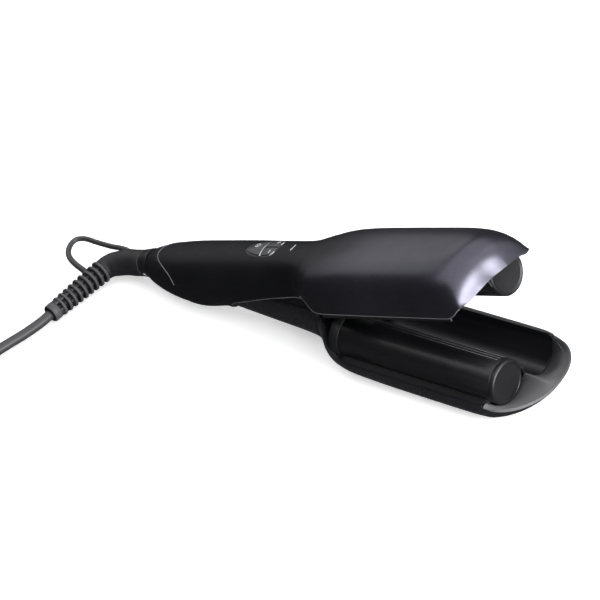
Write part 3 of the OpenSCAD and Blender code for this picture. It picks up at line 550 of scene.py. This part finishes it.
def lathe(name, profile, centre, body, replaces=(), n=64, place=low, turn=None):
    """A turned piece: a profile of (radius, along) about a line through centre, along X unless turned."""
    rings = []
    for r, x in profile:
        a = np.arange(n) * 2 * math.pi / n
        rings.append(np.stack([np.full(n, x), r * np.cos(a), r * np.sin(a)], -1))
    pts = np.array(rings)
    if turn is not None:
        pts = pts @ np.asarray(turn, float)
    return loft(name, place(pts + np.asarray(centre, float)), body, replaces)


# painted shade: a dark strip between the barrel's near side and the case's wall, laid as the floor of the groove and
# dark as the shade down in it
groove_shade_rows = [[(x, -24.6 + (26 - lower_form.at(x)[0]) * k, -7.6 - 2.6 * k ** 0.6) for k in np.linspace(0, 1, 6)]
               for x in np.linspace(91, 195, 24)]
groove_shade = sheet_piece("groove_shade", groove_shade_rows, low, "lower_jaw", wall=0.8, edge=0, flip=True)

# the hub: two cheeks with the spring's slot between them, turned about the hinge pin
PIN_HOLE, HUB_R = 2.1, 11
ACROSS = ((0, 1, 0), (-1, 0, 0), (0, 0, 1))
for i, (a, b) in enumerate(((-12.5, -5.2), (5.2, 12.5))):
    cheek = [(PIN_HOLE, a), (HUB_R - 0.4, a), (HUB_R, a + 0.4), (HUB_R, b - 0.4), (HUB_R - 0.4, b), (PIN_HOLE, b)]
    lathe("hub_%d" % i, cheek, (0, 0, 0), "lower_jaw", ["lower_shell"], 64, low, ACROSS)


def prism(name, outline, x0, x1, place, body, replaces=(), edge=0.2, slant=0):
    """An outline of (y, z) drawn along X; slant sets its far end's outer side back."""
    rings = [[(x - back * min(1, max(0, (y - 10) / 17)), y, z) for y, z in outline] for x, back in ((x0, 0), (x1, slant))]
    o = loft(name, place(np.array(rings)), body, replaces)
    round_edges(o, edge, 2, 50)
    return o


def arc2(cy, r, a0, a1, n):
    """Points (y, z) of an arc about (cy, 0)."""
    a = np.radians(np.linspace(a0, a1, n))
    return [(cy + r * math.cos(t), r * math.sin(t)) for t in a]


# each plate's section stands a little back from the plane in which they meet
MEET_GAP = 0.05


def wave_low(p):
    return low(np.asarray(p, float) + [0, 0, WAVE_Z - MEET_GAP])


def wave_up(p):
    """The upper plate is the lower one's section, turned half round."""
    return up(np.asarray(p, float) * [1, -1, -1] + [0, 0, WAVE_Z + MEET_GAP])


trough_line = arc2(WAVE_Y, TROUGH_R, -180, 0, 64) + [(WAVE_Y + TROUGH_R, 2), (WAVE_Y + TROUGH_OUT, 2)] + \
    arc2(WAVE_Y, TROUGH_OUT, 0, -180, 64)
web_line = [(-0.85, 0), (0.35, 0), (0.42, -1.4), (0.75, -3), (-2.05, -3), (-1.2, -1.4)]
barrel_line = [(BARREL_R - 0.3, PLATE_X0), (BARREL_R, PLATE_X0 + 0.3), (BARREL_R, PLATE_X0 + 30), (BARREL_R, PLATE_X1 - 30),
               (BARREL_R, PLATE_X1 - 0.25), (BARREL_R - 0.25, PLATE_X1)]
cap_face = ((BARREL_R, 1.2), (12.2, 0.55), (11.6, 0.12), (11.3, 0), (11.0, 0.04), (10.7, 0.28), (10.45, 0.45), (10.0, 0.5),
            (0.5, 0.4))
cap_line = [(11.2, PLATE_X1 - 3.9), (11.2, PLATE_X1), (12.25, PLATE_X1 + 0.05), (BARREL_R, PLATE_X1 + 0.3)] + [
    (radius, BARREL_X1 - behind) for radius, behind in cap_face]
BARREL_AXIS = (0, -WAVE_Y, 0)
for side, place, body, slant in (("lower", wave_low, "lower_jaw", 0), ("upper", wave_up, "handle", 8)):
    node = side + "_plate"
    prism(side + "_trough", trough_line, PLATE_X0, BARREL_X1, place, body, [node], 0.3, slant)
    prism(side + "_web", web_line, PLATE_X0, PLATE_X1, place, body, [node], 0.2)
    lathe(side + "_barrel", barrel_line, BARREL_AXIS, body, [node], 96, place)
    cap = lathe(side + "_cap", cap_line, BARREL_AXIS, body, [side + "_barrel_cap"], 96, place)
    round_edges(cap, 0.12, 2, 30)
collar = lathe("barrel_collar", [(0.5, 87), (12.4, 87), (12.8, 87.5), (12.8, 92.6), (12.4, 93.4), (11, 93.7), (0.5, 93.7)],
               BARREL_AXIS, "lower_jaw", n=96, place=wave_low)
# painted highlights: fine light grey lines along the lower barrel, beside its top
barrel_highlights = []
for i, a in enumerate(map(math.radians, (10, 20, 36))):
    y, z = BARREL_R * math.sin(a) - WAVE_Y, BARREL_R * math.cos(a)
    barrel_highlights.append(tube("barrel_highlight_%d" % i, wave_low([(x, y, z) for x in (PLATE_X0 + 1, 145, PLATE_X1 - 2)]), 0.00014, 8,
                          "lower_jaw"))

# the lip: a crescent from the barrels' ends to the tip's round edge
LIP_R = TROUGH_R + 0.2
LIP_X = BARREL_X1 + 0.4


def lip_inner(t):
    """The inner edge, from under the barrel's near side (0) round the trough to its far side (1)."""
    if t < 0.5:
        a = math.radians(212 + 266 * t)
        tuck = 2.6 * min(1, 5 - 10 * t) + 4 * max(0, 1 - 6 * t) ** 2
        return np.array([LIP_X - tuck, -WAVE_Y + LIP_R * math.cos(a), WAVE_Z + LIP_R * math.sin(a)])
    a = math.radians(35 + 318 * t)
    return np.array([LIP_X, WAVE_Y + LIP_R * math.cos(a), WAVE_Z + LIP_R * math.sin(a)])


def lip_outer(t):
    """The outer edge, round the tip."""
    a = math.radians(-84 + 154 * t)
    y = JAW_HALF * (math.sin(a) if a < 0 else far_cos(math.pi / 2 - a))
    return np.array([TIP_MID + TIP_R * math.cos(a), y, LIP_Z + LIP_TILT * y])


lip_rows = []
for t in np.linspace(0, 1, 97):
    a, b = lip_inner(t), lip_outer(t)
    lip_rows.append([a * (1 - w) + b * w + [0, 0, 1.2 * math.sin(math.pi * w)] for w in np.linspace(0, 1, 17)])
lip_rows = np.array(lip_rows)
blur = np.exp(-np.linspace(-1.6, 1.6, 7) ** 2)
blur /= blur.sum()
soft = np.pad(lip_rows, ((3, 3), (0, 0), (0, 0)), mode="edge")
soft = sum(blur[i] * soft[i:i + len(lip_rows)] for i in range(7))
lip_rows[2:-2] = soft[2:-2]
sheet_piece("lip", lip_rows, low, "lower_jaw", ["tip_lip"], wall=1.6, edge=0.5, flip=True)


# ---- Strain relief ----
def relief_point(p):
    """From the relief's own axes, with its length along the third, to the tool's."""
    p = np.asarray(p, float)
    flat = unit([relief_dir[0], relief_dir[1], 0])
    across = np.array([-flat[1], flat[0], 0])
    lift = np.cross(relief_dir, across)
    return low(relief_start + p[..., :1] * lift + p[..., 1:2] * across + p[..., 2:] * relief_dir)


def rib_r(i):
    """The ribs taper along the relief."""
    return 7.0 - 1.35 * i / RIBS


def turned(name, profile, place, body, replaces, n=48):
    """A closed turned form from rows of (radius, along)."""
    a = np.arange(n) * 2 * math.pi / n
    rings = [np.stack([r * np.cos(a), r * np.sin(a), np.full(n, h)], -1) for r, h in profile]
    return loft(name, place(np.array(rings)), body, replaces)


core = []                       # the relief's outline: ribs and the gaps between them, then its end
for i in range(RIBS):
    z, rr = i * RIB_PITCH + 0.1, rib_r(i)
    core += [(3.6, z), (rr - 0.5, z + 0.05), (rr, z + 0.5), (rr, z + 1.35), (rr - 0.5, z + 1.8), (3.6, z + 1.85)]
end_z, end_r = RIBS * RIB_PITCH, rib_r(RIBS) - 0.2
core += [(3.6, end_z - 0.1), (end_r - 0.4, end_z), (end_r, end_z + 0.4), (end_r - 0.1, end_z + 4.4),
         (end_r - 0.6, end_z + 4.95), (3.05, RELIEF_LEN)]
turned("relief_ribs", core, relief_point, "cord_swivel", ["strain_relief"])
# rails join the ribs: two all along, and two that skip every other gap
for i in range(4):
    c, sn = math.cos(math.radians(90 * i)), math.sin(math.radians(90 * i))
    every = 1 if i % 2 == 0 else 2
    reach, wide = (5.0, 2.1) if every == 1 else (4.9, 1.7)
    corners = [(2.9, -wide), (reach, -wide), (reach, wide), (2.9, wide)]
    for j in range(0, RIBS, every):
        z0, z1 = j * RIB_PITCH + 1.6, (j + 1) * RIB_PITCH + 0.3
        ring = [[(a * c - b * sn, a * sn + b * c, z) for a, b in corners] for z in (z0, z1)]
        loft("relief_rail_%d_%d" % (i, j), relief_point(np.array(ring)), "cord_swivel", ["strain_relief"])


# ---- Solids of the frame, taken over ----
def in_arm(x, z):
    """Millimetres along and above the upper arm, from the tool's x and z in millimetres; values of a material too."""
    c, s = math.cos(OPEN), math.sin(OPEN)
    fore, rise = x + MIDDLE, z - DEPTH
    return fore * c + rise * s, rise * c - fore * s


def trimmed(node, xs, near_y):
    """A solid of the upper arm, with its near front corner drawn in to clear the cover's rounded corner."""
    o = soften(node, 0)
    for v in o.data.vertices:
        x, z = in_arm(v.co.x * 1000, v.co.z * 1000)
        if x > xs[0]:
            v.co = up([x, max(v.co.y * 1000, float(np.interp(x, xs, near_y))), z]).tolist()
    o.data.update()


trimmed("upper_carrier", (182, 187, 191, 194, 197, 200, 203, 206), (-29, -26, -24.5, -22, -18.5, -14, -9, -3))
for node, width in (("control_bezel", 0.12), ("power_button", 0.22), ("minus_button", 0.22), ("plus_button", 0.22),
                    ("light_guide", 0.1), ("cord_boot", 0.25), ("lock_ring", 0.15)):
    soften(node, width)


# ---- Materials ----
class Value:
    """A value in a material's node tree, with ordinary operators."""

    def __init__(self, mat, socket):
        self.mat, self.socket = mat, socket

    def math(self, kind, a, b=0.0):
        return self.mat.make("ShaderNodeMath", [a, b], operation=kind)

    def __add__(self, o):
        return self.math("ADD", self, o)

    def __radd__(self, o):
        return self.math("ADD", o, self)

    def __sub__(self, o):
        return self.math("SUBTRACT", self, o)

    def __rsub__(self, o):
        return self.math("SUBTRACT", o, self)

    def __mul__(self, o):
        return self.math("MULTIPLY", self, o)

    def __rmul__(self, o):
        return self.math("MULTIPLY", o, self)

    def root(self):
        return self.math("SQRT", self)

    def step(self, a, b, first=0.0, last=1.0):
        """Smoothly from first at a to last at b."""
        return self.mat.make("ShaderNodeMapRange", {"Value": self, "From Min": a, "From Max": b, "To Min": first,
                                                    "To Max": last}, interpolation_type="SMOOTHSTEP")


class Mat:
    """A material built up from values, with one finish or two."""

    def __init__(self, name, **constants):
        self.mat = bpy.data.materials.new(name)
        self.mat.use_nodes = True
        self.tree = self.mat.node_tree
        self.shader = self.tree.nodes["Principled BSDF"]
        self.set(constants)

    def set(self, constants):
        for k, v in constants.items():
            self.put(k.replace("_", " ").title().replace("Ior", "IOR"), v)

    def put(self, name, value):
        s = self.shader.inputs[name]
        if isinstance(value, Value):
            self.tree.links.new(value.socket, s)
        else:
            s.default_value = (*value, 1) if isinstance(value, tuple) and len(value) == 3 else value

    def make(self, kind, inputs=(), out=0, **settings):
        """A node: its type, its settings, and the values or links of its sockets."""
        n = self.tree.nodes.new(kind)
        for k, v in settings.items():
            setattr(n, k, v)
        for k, v in (inputs.items() if isinstance(inputs, dict) else enumerate(inputs)):
            if isinstance(v, Value):
                self.tree.links.new(v.socket, n.inputs[k])
            else:
                colour = isinstance(v, tuple) and len(v) == 3 and n.inputs[k].type == "RGBA"
                n.inputs[k].default_value = (*v, 1) if colour else v
        return Value(self, n.outputs[out])

    def over(self, factor, **constants):
        """A second finish, which shows where factor is 1. What is put from here on goes into it."""
        first = Value(self, self.shader.outputs[0])
        second = self.make("ShaderNodeBsdfPrincipled")
        self.shader = second.socket.node
        self.set(constants)
        both = self.make("ShaderNodeMixShader", [factor, first, second])
        self.tree.links.new(both.socket, self.tree.nodes["Material Output"].inputs[0])

    def place(self):
        return self.make("ShaderNodeTexCoord", out=3)

    def axes(self):
        split = self.make("ShaderNodeSeparateXYZ", [self.place()]).socket.node
        return [Value(self, o) for o in split.outputs]

    def arm(self):
        """Millimetres in the upper arm's own axes."""
        x, y, z = self.axes()
        along, above = in_arm(x * 1000, z * 1000)
        return along, y * 1000, above

    def noise(self, scale, detail=2, rough=0.5, stretch=None):
        where = self.place()
        if stretch:
            where = self.make("ShaderNodeMapping", {0: where, 3: stretch})
        return self.make("ShaderNodeTexNoise", {"Vector": where, "Scale": scale, "Detail": detail, "Roughness": rough})

    def mix(self, factor, a, b):
        return self.make("ShaderNodeMix", {0: factor, 6: a, 7: b}, out=2, data_type="RGBA")

    def bump(self, height, strength=0.2, distance=0.0002):
        self.put("Normal", self.make("ShaderNodeBump", {"Strength": strength, "Distance": distance, "Height": height}))


def paler(colour, by, plus=0.01):
    """A colour made lighter, or darker where by is under 1."""
    return tuple(min(1, c * by + plus) for c in colour)


def moulded(m, colour, rough, grain=0.03, grain_scale=2500, dust=0.15):
    """Moulded plastic: fine grain, slow variation of gloss and a little handling wear."""
    cloud = m.noise(22, 3)
    m.put("Base Color", m.mix(cloud.step(0.3, 0.75, 0, dust), colour, paler(colour, 1.9)))
    m.put("Roughness", cloud.step(0.2, 0.8, rough - 0.04, rough + 0.05) + m.noise(160, 2).step(0.3, 0.8, 0, 0.03))
    m.bump(m.noise(grain_scale, 2), grain, 0.00003)


def plastic(name, colour, rough, grain=0.03, grain_scale=2500, dust=0.15, **more):
    m = Mat(name, **more)
    moulded(m, colour, rough, grain, grain_scale, dust)
    return m


def metal(name, colour, rough, brushed=(1, 1, 1)):
    """Bare metal, streaked where it is brushed."""
    m = Mat(name, metallic=1.0)
    streak = m.noise(900, 3, 0.6, brushed)
    m.put("Base Color", m.mix(streak.step(0.3, 0.7), paler(colour, 0.85, 0), colour))
    m.put("Roughness", streak.step(0.2, 0.8, rough - 0.06, rough + 0.1))
    m.bump(streak, 0.06, 0.00002)
    return m


def handle_black(name):
    """The handle's satin black."""
    m = Mat(name, specular_ior_level=0.16)
    moulded(m, (0.004, 0.004, 0.006), 0.42, 0.05, 2600, 0.25)
    return m


def cover_lacquer():
    """Satin black on the handle, and purple-black metallic lacquer on the jaw."""
    m = handle_black("cover_lacquer")
    m.over(m.arm()[0].step(58, 140), coat_weight=0.3, coat_roughness=0.3, metallic=0.9)
    flake = m.noise(5200, 1)
    cloud = m.noise(14, 3)
    tint = m.mix(cloud.step(0.3, 0.7), (0.052, 0.050, 0.068), (0.066, 0.064, 0.083))
    m.put("Base Color", m.mix(flake.step(0.62, 0.80, 0, 0.55), tint, (0.30, 0.295, 0.34)))
    m.put("Roughness", m.noise(120, 2).step(0.3, 0.8, 0.32, 0.37))
    m.bump(flake, 0.05, 0.00002)
    return m


def ceramic_plate():
    """The plates' smooth black ceramic coat, with faint streaks along the arm."""
    m = Mat("ceramic_plate", coat_weight=0.2, coat_roughness=0.2, specular_ior_level=0.4)
    streak = m.noise(260, 3, 0.6, (0.04, 1, 1))
    m.put("Base Color", m.mix(streak.step(0.35, 0.7), (0.004, 0.004, 0.005), (0.008, 0.008, 0.010)))
    m.put("Roughness", streak.step(0.3, 0.8, 0.36, 0.44))
    m.bump(streak, 0.02, 0.00003)
    return m


def relief_rubber():
    """The strain relief's rubber: patchy painted light on the ribs' rims, and painted shade down in its slots."""
    m = Mat("relief_rubber", specular_ior_level=0.35)
    foot = low(relief_start)
    along = tuple(float(v) for v in relief_dir)
    out = m.make("ShaderNodeVectorMath", [m.place(), tuple(float(v) for v in foot)], operation="SUBTRACT")
    run = m.make("ShaderNodeVectorMath", [out, along], out=1, operation="DOT_PRODUCT")
    far = m.make("ShaderNodeVectorMath", [out], out=1, operation="LENGTH")
    from_axis = (far * far - run * run).root() * 1000
    # painted light and shade: lighter on the ribs' outer rims, a little patchy, and dark down in the slots between them
    rim = 1 - (from_axis - (rib_r(0) - run * 33)).step(-1.3, -0.25, 1, 0)
    dust = m.noise(400, 3).step(0.3, 0.7, 0.75, 1)
    m.put("Base Color", m.mix(rim * dust, (0.004, 0.004, 0.005), (0.075, 0.075, 0.080)))
    m.put("Roughness", m.noise(200, 2).step(0.3, 0.8, 0.46, 0.56))
    m.bump(m.noise(1500, 2), 0.12, 0.00003)
    return m


def ring_black():
    """The lock ring's satin black, with a painted highlight along its rear edge."""
    m = Mat("ring_black", specular_ior_level=0.3)
    # painted highlight: a light grey band along the ring's rear edge
    rim_highlight = m.arm()[0].step(-74.6, -74.3, 1, 0)
    moulded(m, (0.010, 0.010, 0.013), 0.34)
    m.put("Base Color", m.mix(rim_highlight, (0.010, 0.010, 0.013), (0.34, 0.34, 0.35)))
    return m


cover_mat = cover_lacquer()
black = handle_black("handle_black")
plate_mat = ceramic_plate()
relief_mat = relief_rubber()
case_mat = plastic("case_grey", (0.010, 0.010, 0.013), 0.26, dust=0.1, coat_weight=0.25, coat_roughness=0.1)
lip_mat = plastic("lip_grey", (0.075, 0.075, 0.082), 0.32, dust=0.15, coat_weight=0.1)
# painted light and shade: the lip is lighter on its near side and darker towards its far side
lip_mat.put("Base Color", lip_mat.mix(lip_mat.axes()[1].step(-0.024, 0.012), (0.150, 0.150, 0.157), (0.055, 0.055, 0.060)))
field_mat = plastic("field_grey", (0.030, 0.030, 0.034), 0.36)
button_mat = plastic("button_grey", (0.035, 0.035, 0.040), 0.34)
cap_mat = plastic("cap_black", (0.005, 0.005, 0.006), 0.42)
carrier_mat = plastic("carrier_black", (0.005, 0.005, 0.006), 0.6, specular_ior_level=0.25)
rubber = plastic("soft_rubber", (0.012, 0.012, 0.014), 0.50, 0.12, 1500, 0.35, specular_ior_level=0.35)
cord_mat = plastic("cord_rubber", (0.030, 0.030, 0.034), 0.46, 0.1, 1800, 0.3)
ring_mat = ring_black()
loop_mat = plastic("loop_rubber", (0.034, 0.034, 0.037), 0.42, 0.1, 1500, 0.3)
steel = metal("steel", (0.62, 0.62, 0.64), 0.3, (1, 0.1, 1))
alloy = metal("heater_alloy", (0.7, 0.7, 0.72), 0.45)
brass = metal("brass", (0.76, 0.6, 0.3), 0.3)
board = plastic("circuit_green", (0.01, 0.09, 0.04), 0.35)
white = Mat("light_white", roughness=0.3)
white.put("Base Color", white.mix(white.noise(300, 2).step(0.3, 0.7), (0.80, 0.82, 0.85), (0.92, 0.93, 0.95)))
bright = metal("bright_edge", (0.72, 0.72, 0.74), 0.28)
# painted highlights: the light grey of the thin lines along the cover's edge, the seam and the lower barrel
highlight_grey = plastic("highlight_grey", (0.11, 0.11, 0.12), 0.35)


def dress(o, m):
    """Gives an object one material."""
    o.data.materials.clear()
    o.data.materials.append(m.mat)


# ---- Marks on the controls and the lock ring, and painted highlights on two buttons' front edges ----
def ribbon(name, outlines, place, body, thick=0.08):
    """Flat marks: each outline is a closed row of points on the surface, in order round the mark."""
    verts, faces = [], []
    for rim in outlines:
        half = len(rim) // 2
        start = len(verts)
        verts += [tuple(p) for p in rim]
        faces += [(start + k, start + k + 1, start + len(rim) - 2 - k, start + len(rim) - 1 - k) for k in range(half - 1)]
    o = piece(name, place(np.array(verts, float)), faces, body)
    solid = o.modifiers.new("thickness", "SOLIDIFY")
    solid.thickness = thick / 1000
    solid.offset = 0
    return o


def stroke(points, width):
    """The rim of a drawn line: along one side and back along the other."""
    p = np.asarray(points, float)
    t = heading(p)
    side = np.stack([-t[:, 1], t[:, 0]], -1) * width / 2
    return np.vstack([p + side, (p - side)[::-1]])


def on_back(rim, top):
    """Points of the plan, laid on the handle's rounded back."""
    rim = np.asarray(rim, float)
    return np.column_stack([rim, top - BACK_R + np.sqrt(BACK_R ** 2 - rim[:, 1] ** 2) + 0.04])


def bent(cx, cy, r, a0, a1, n=24):
    """Points of the plan on an arc."""
    a = np.radians(np.linspace(a0, a1, n))
    return np.stack([cx + r * np.cos(a), cy + r * np.sin(a)], -1)


KEY_TOP, BEZEL_TOP = HANDLE_TOP + 0.25, HANDLE_TOP - 0.25
marks = []
for node, lines, width in (
        ("power_button", [bent(28.4, 2.4, 1.55, -150, 150), [(26.9, 2.4), (27.6, 2.4), (28.6, 2.4)]], 0.45),
        ("minus_button", [[(43.2, -4.6), (43.2, -3.4), (43.2, -2.2)]], 0.5),
        ("plus_button", [[(42.6, 4.6), (42.6, 5.8), (42.6, 7.0)], [(41.4, 5.8), (42.6, 5.8), (43.8, 5.8)]], 0.5)):
    marks.append(ribbon(node + "_mark", [on_back(stroke(q, width), KEY_TOP) for q in lines], up, body_of[node]))
divider = bent(35.2 + 40 * math.cos(math.radians(11)), 40 * math.sin(math.radians(11)), 40, 181.2, 200.5)
divider_line = ribbon("divider", [on_back(stroke(divider, 1.1), BEZEL_TOP + 0.1)], up, "handle", 0.3)
SWIVEL_Z, RING_X = 9.8, -70.6


def on_ring(rim):
    """Points drawn as (along, around) in millimetres, laid on the lock ring's near side."""
    rim = np.asarray(rim, float)
    x = rim[:, 0] + RING_X
    a, rad = rim[:, 1] / 8.3 - math.radians(16), 7.9 + 0.1 * (x + 74.7) + 0.05
    return np.column_stack([x, -rad * np.cos(a), SWIVEL_Z + rad * np.sin(a)])


padlock = [[(-0.9, -1), (0, -1), (0.9, -1), (0.9, -0.4), (0.9, 0.2), (0, 0.2), (-0.9, 0.2), (-0.9, -0.4), (-0.9, -0.9)],
           bent(0, 0.2, 0.55, 0, 180, 12)]
marks.append(ribbon("padlock_mark", [on_ring(stroke(q, 0.3)) for q in padlock], up, body_of["lock_ring"]))
# painted highlights: white strips along the front edges of the minus and plus buttons
gleams = (("minus_button", [(45.2, -6.0), (46.3, -4.6), (46.9, -3.0)]),
          ("plus_button", [(46.9, 3.2), (46.4, 5.2), (45.4, 7.0)]))
for node, front in gleams:
    marks.append(ribbon(node + "_gleam", [on_back(stroke(front, 0.45), BEZEL_TOP + 0.12)], up, "handle", 0.24))
for o in marks:
    dress(o, white)
dress(divider_line, bright)

# ---- Every piece in its material ----
trim = [(o, highlight_grey, "lower_plate") for o in barrel_highlights] + [
    (collar, cap_mat, "lower_barrel_cap"), (edge_highlight, highlight_grey, "top_cover"), (seam_highlight, highlight_grey, "top_cover"),
    (skirt, black, "top_cover"), (groove_shade, carrier_mat, "lower_shell")]
for o, m, like in trim:
    dress(o, m)

finish = {}
for names, m in (
        (("top_cover",), cover_mat), (("belly_cover", "rear_cap"), black), (("control_bezel",), field_mat),
        (("power_button", "minus_button", "plus_button"), button_mat), (("light_guide",), white),
        (("control_board",), board), (("upper_carrier", "lower_carrier"), carrier_mat),
        (("upper_plate", "lower_plate"), plate_mat), (("upper_barrel_cap", "lower_barrel_cap"), cap_mat),
        (("upper_heater", "lower_heater"), alloy),
        (("carrier_screws", "case_screws", "hinge_pin", "hinge_spring", "lock_bar"), steel),
        (("lower_shell",), case_mat), (("tip_lip",), lip_mat), (("lock_ring",), ring_mat),
        (("swivel_stem",), brass), (("cord_boot", "plug_body", "coil_tie"), rubber), (("hang_loop",), loop_mat),
        (("strain_relief",), relief_mat), (("cord", "cord_coil"), cord_mat), (("plug_pins",), brass)):
    for n in names:
        finish[n] = m
        dress(nodes[n], m)
for o, n in made.items():
    dress(o, finish[n])

# ---- Stage and light ----
floor_mat = Mat("floor", roughness=0.9, base_color=(0.9, 0.9, 0.9), emission_strength=1.0)
seen = floor_mat.make("ShaderNodeLightPath")
floor_mat.put("Emission Color", floor_mat.mix(seen, (0, 0, 0), (0.5, 0.5, 0.5)))
FLOOR_HALF, FLOOR_Z = 3, -0.0005
floor = piece("floor", [(x * FLOOR_HALF, y * FLOOR_HALF, FLOOR_Z) for x, y in ((-1, -1), (1, -1), (1, 1), (-1, 1))],
              [(0, 1, 2, 3)], None, smooth=False)
dress(floor, floor_mat)
floor.visible_glossy = False

world = bpy.data.worlds.new("world")
scene.world = world
world.use_nodes = True
background = world.node_tree.nodes["Background"]
background.inputs["Color"].default_value = (0.5, 0.5, 0.52, 1)
background.inputs["Strength"].default_value = 0.13


def area(name, at, to, size, size_y, watts):
    """A rectangular lamp that looks from one place to another."""
    d = bpy.data.lights.new(name, "AREA")
    d.shape = "RECTANGLE"
    d.size, d.size_y, d.energy = size, size_y, watts
    o = bpy.data.objects.new(name, d)
    scene.collection.objects.link(o)
    o.location = at
    o.rotation_euler = (Vector(to) - Vector(at)).to_track_quat("-Z", "Y").to_euler()


area("over", (0.35, 0.35, 1.7), (0.35, 0.35, 0), 3.4, 3, 52)
area("left_panel", (-1.1, 0.45, 0.6), (0.05, 0, 0.07), 1.1, 0.7, 2.2)
area("nose_panel", (1.1, 1.0, 0.85), (0.14, 0, 0.07), 0.9, 0.9, 3)
area("key", (1.6, -0.1, 0.52), (0.14, -0.02, 0.07), 1.5, 0.38, 50)
area("left_strip", (-1.0, -0.4, 1.2), (0.05, 0, 0.05), 1.6, 0.12, 0.8)

scene.view_settings.view_transform = "Standard"
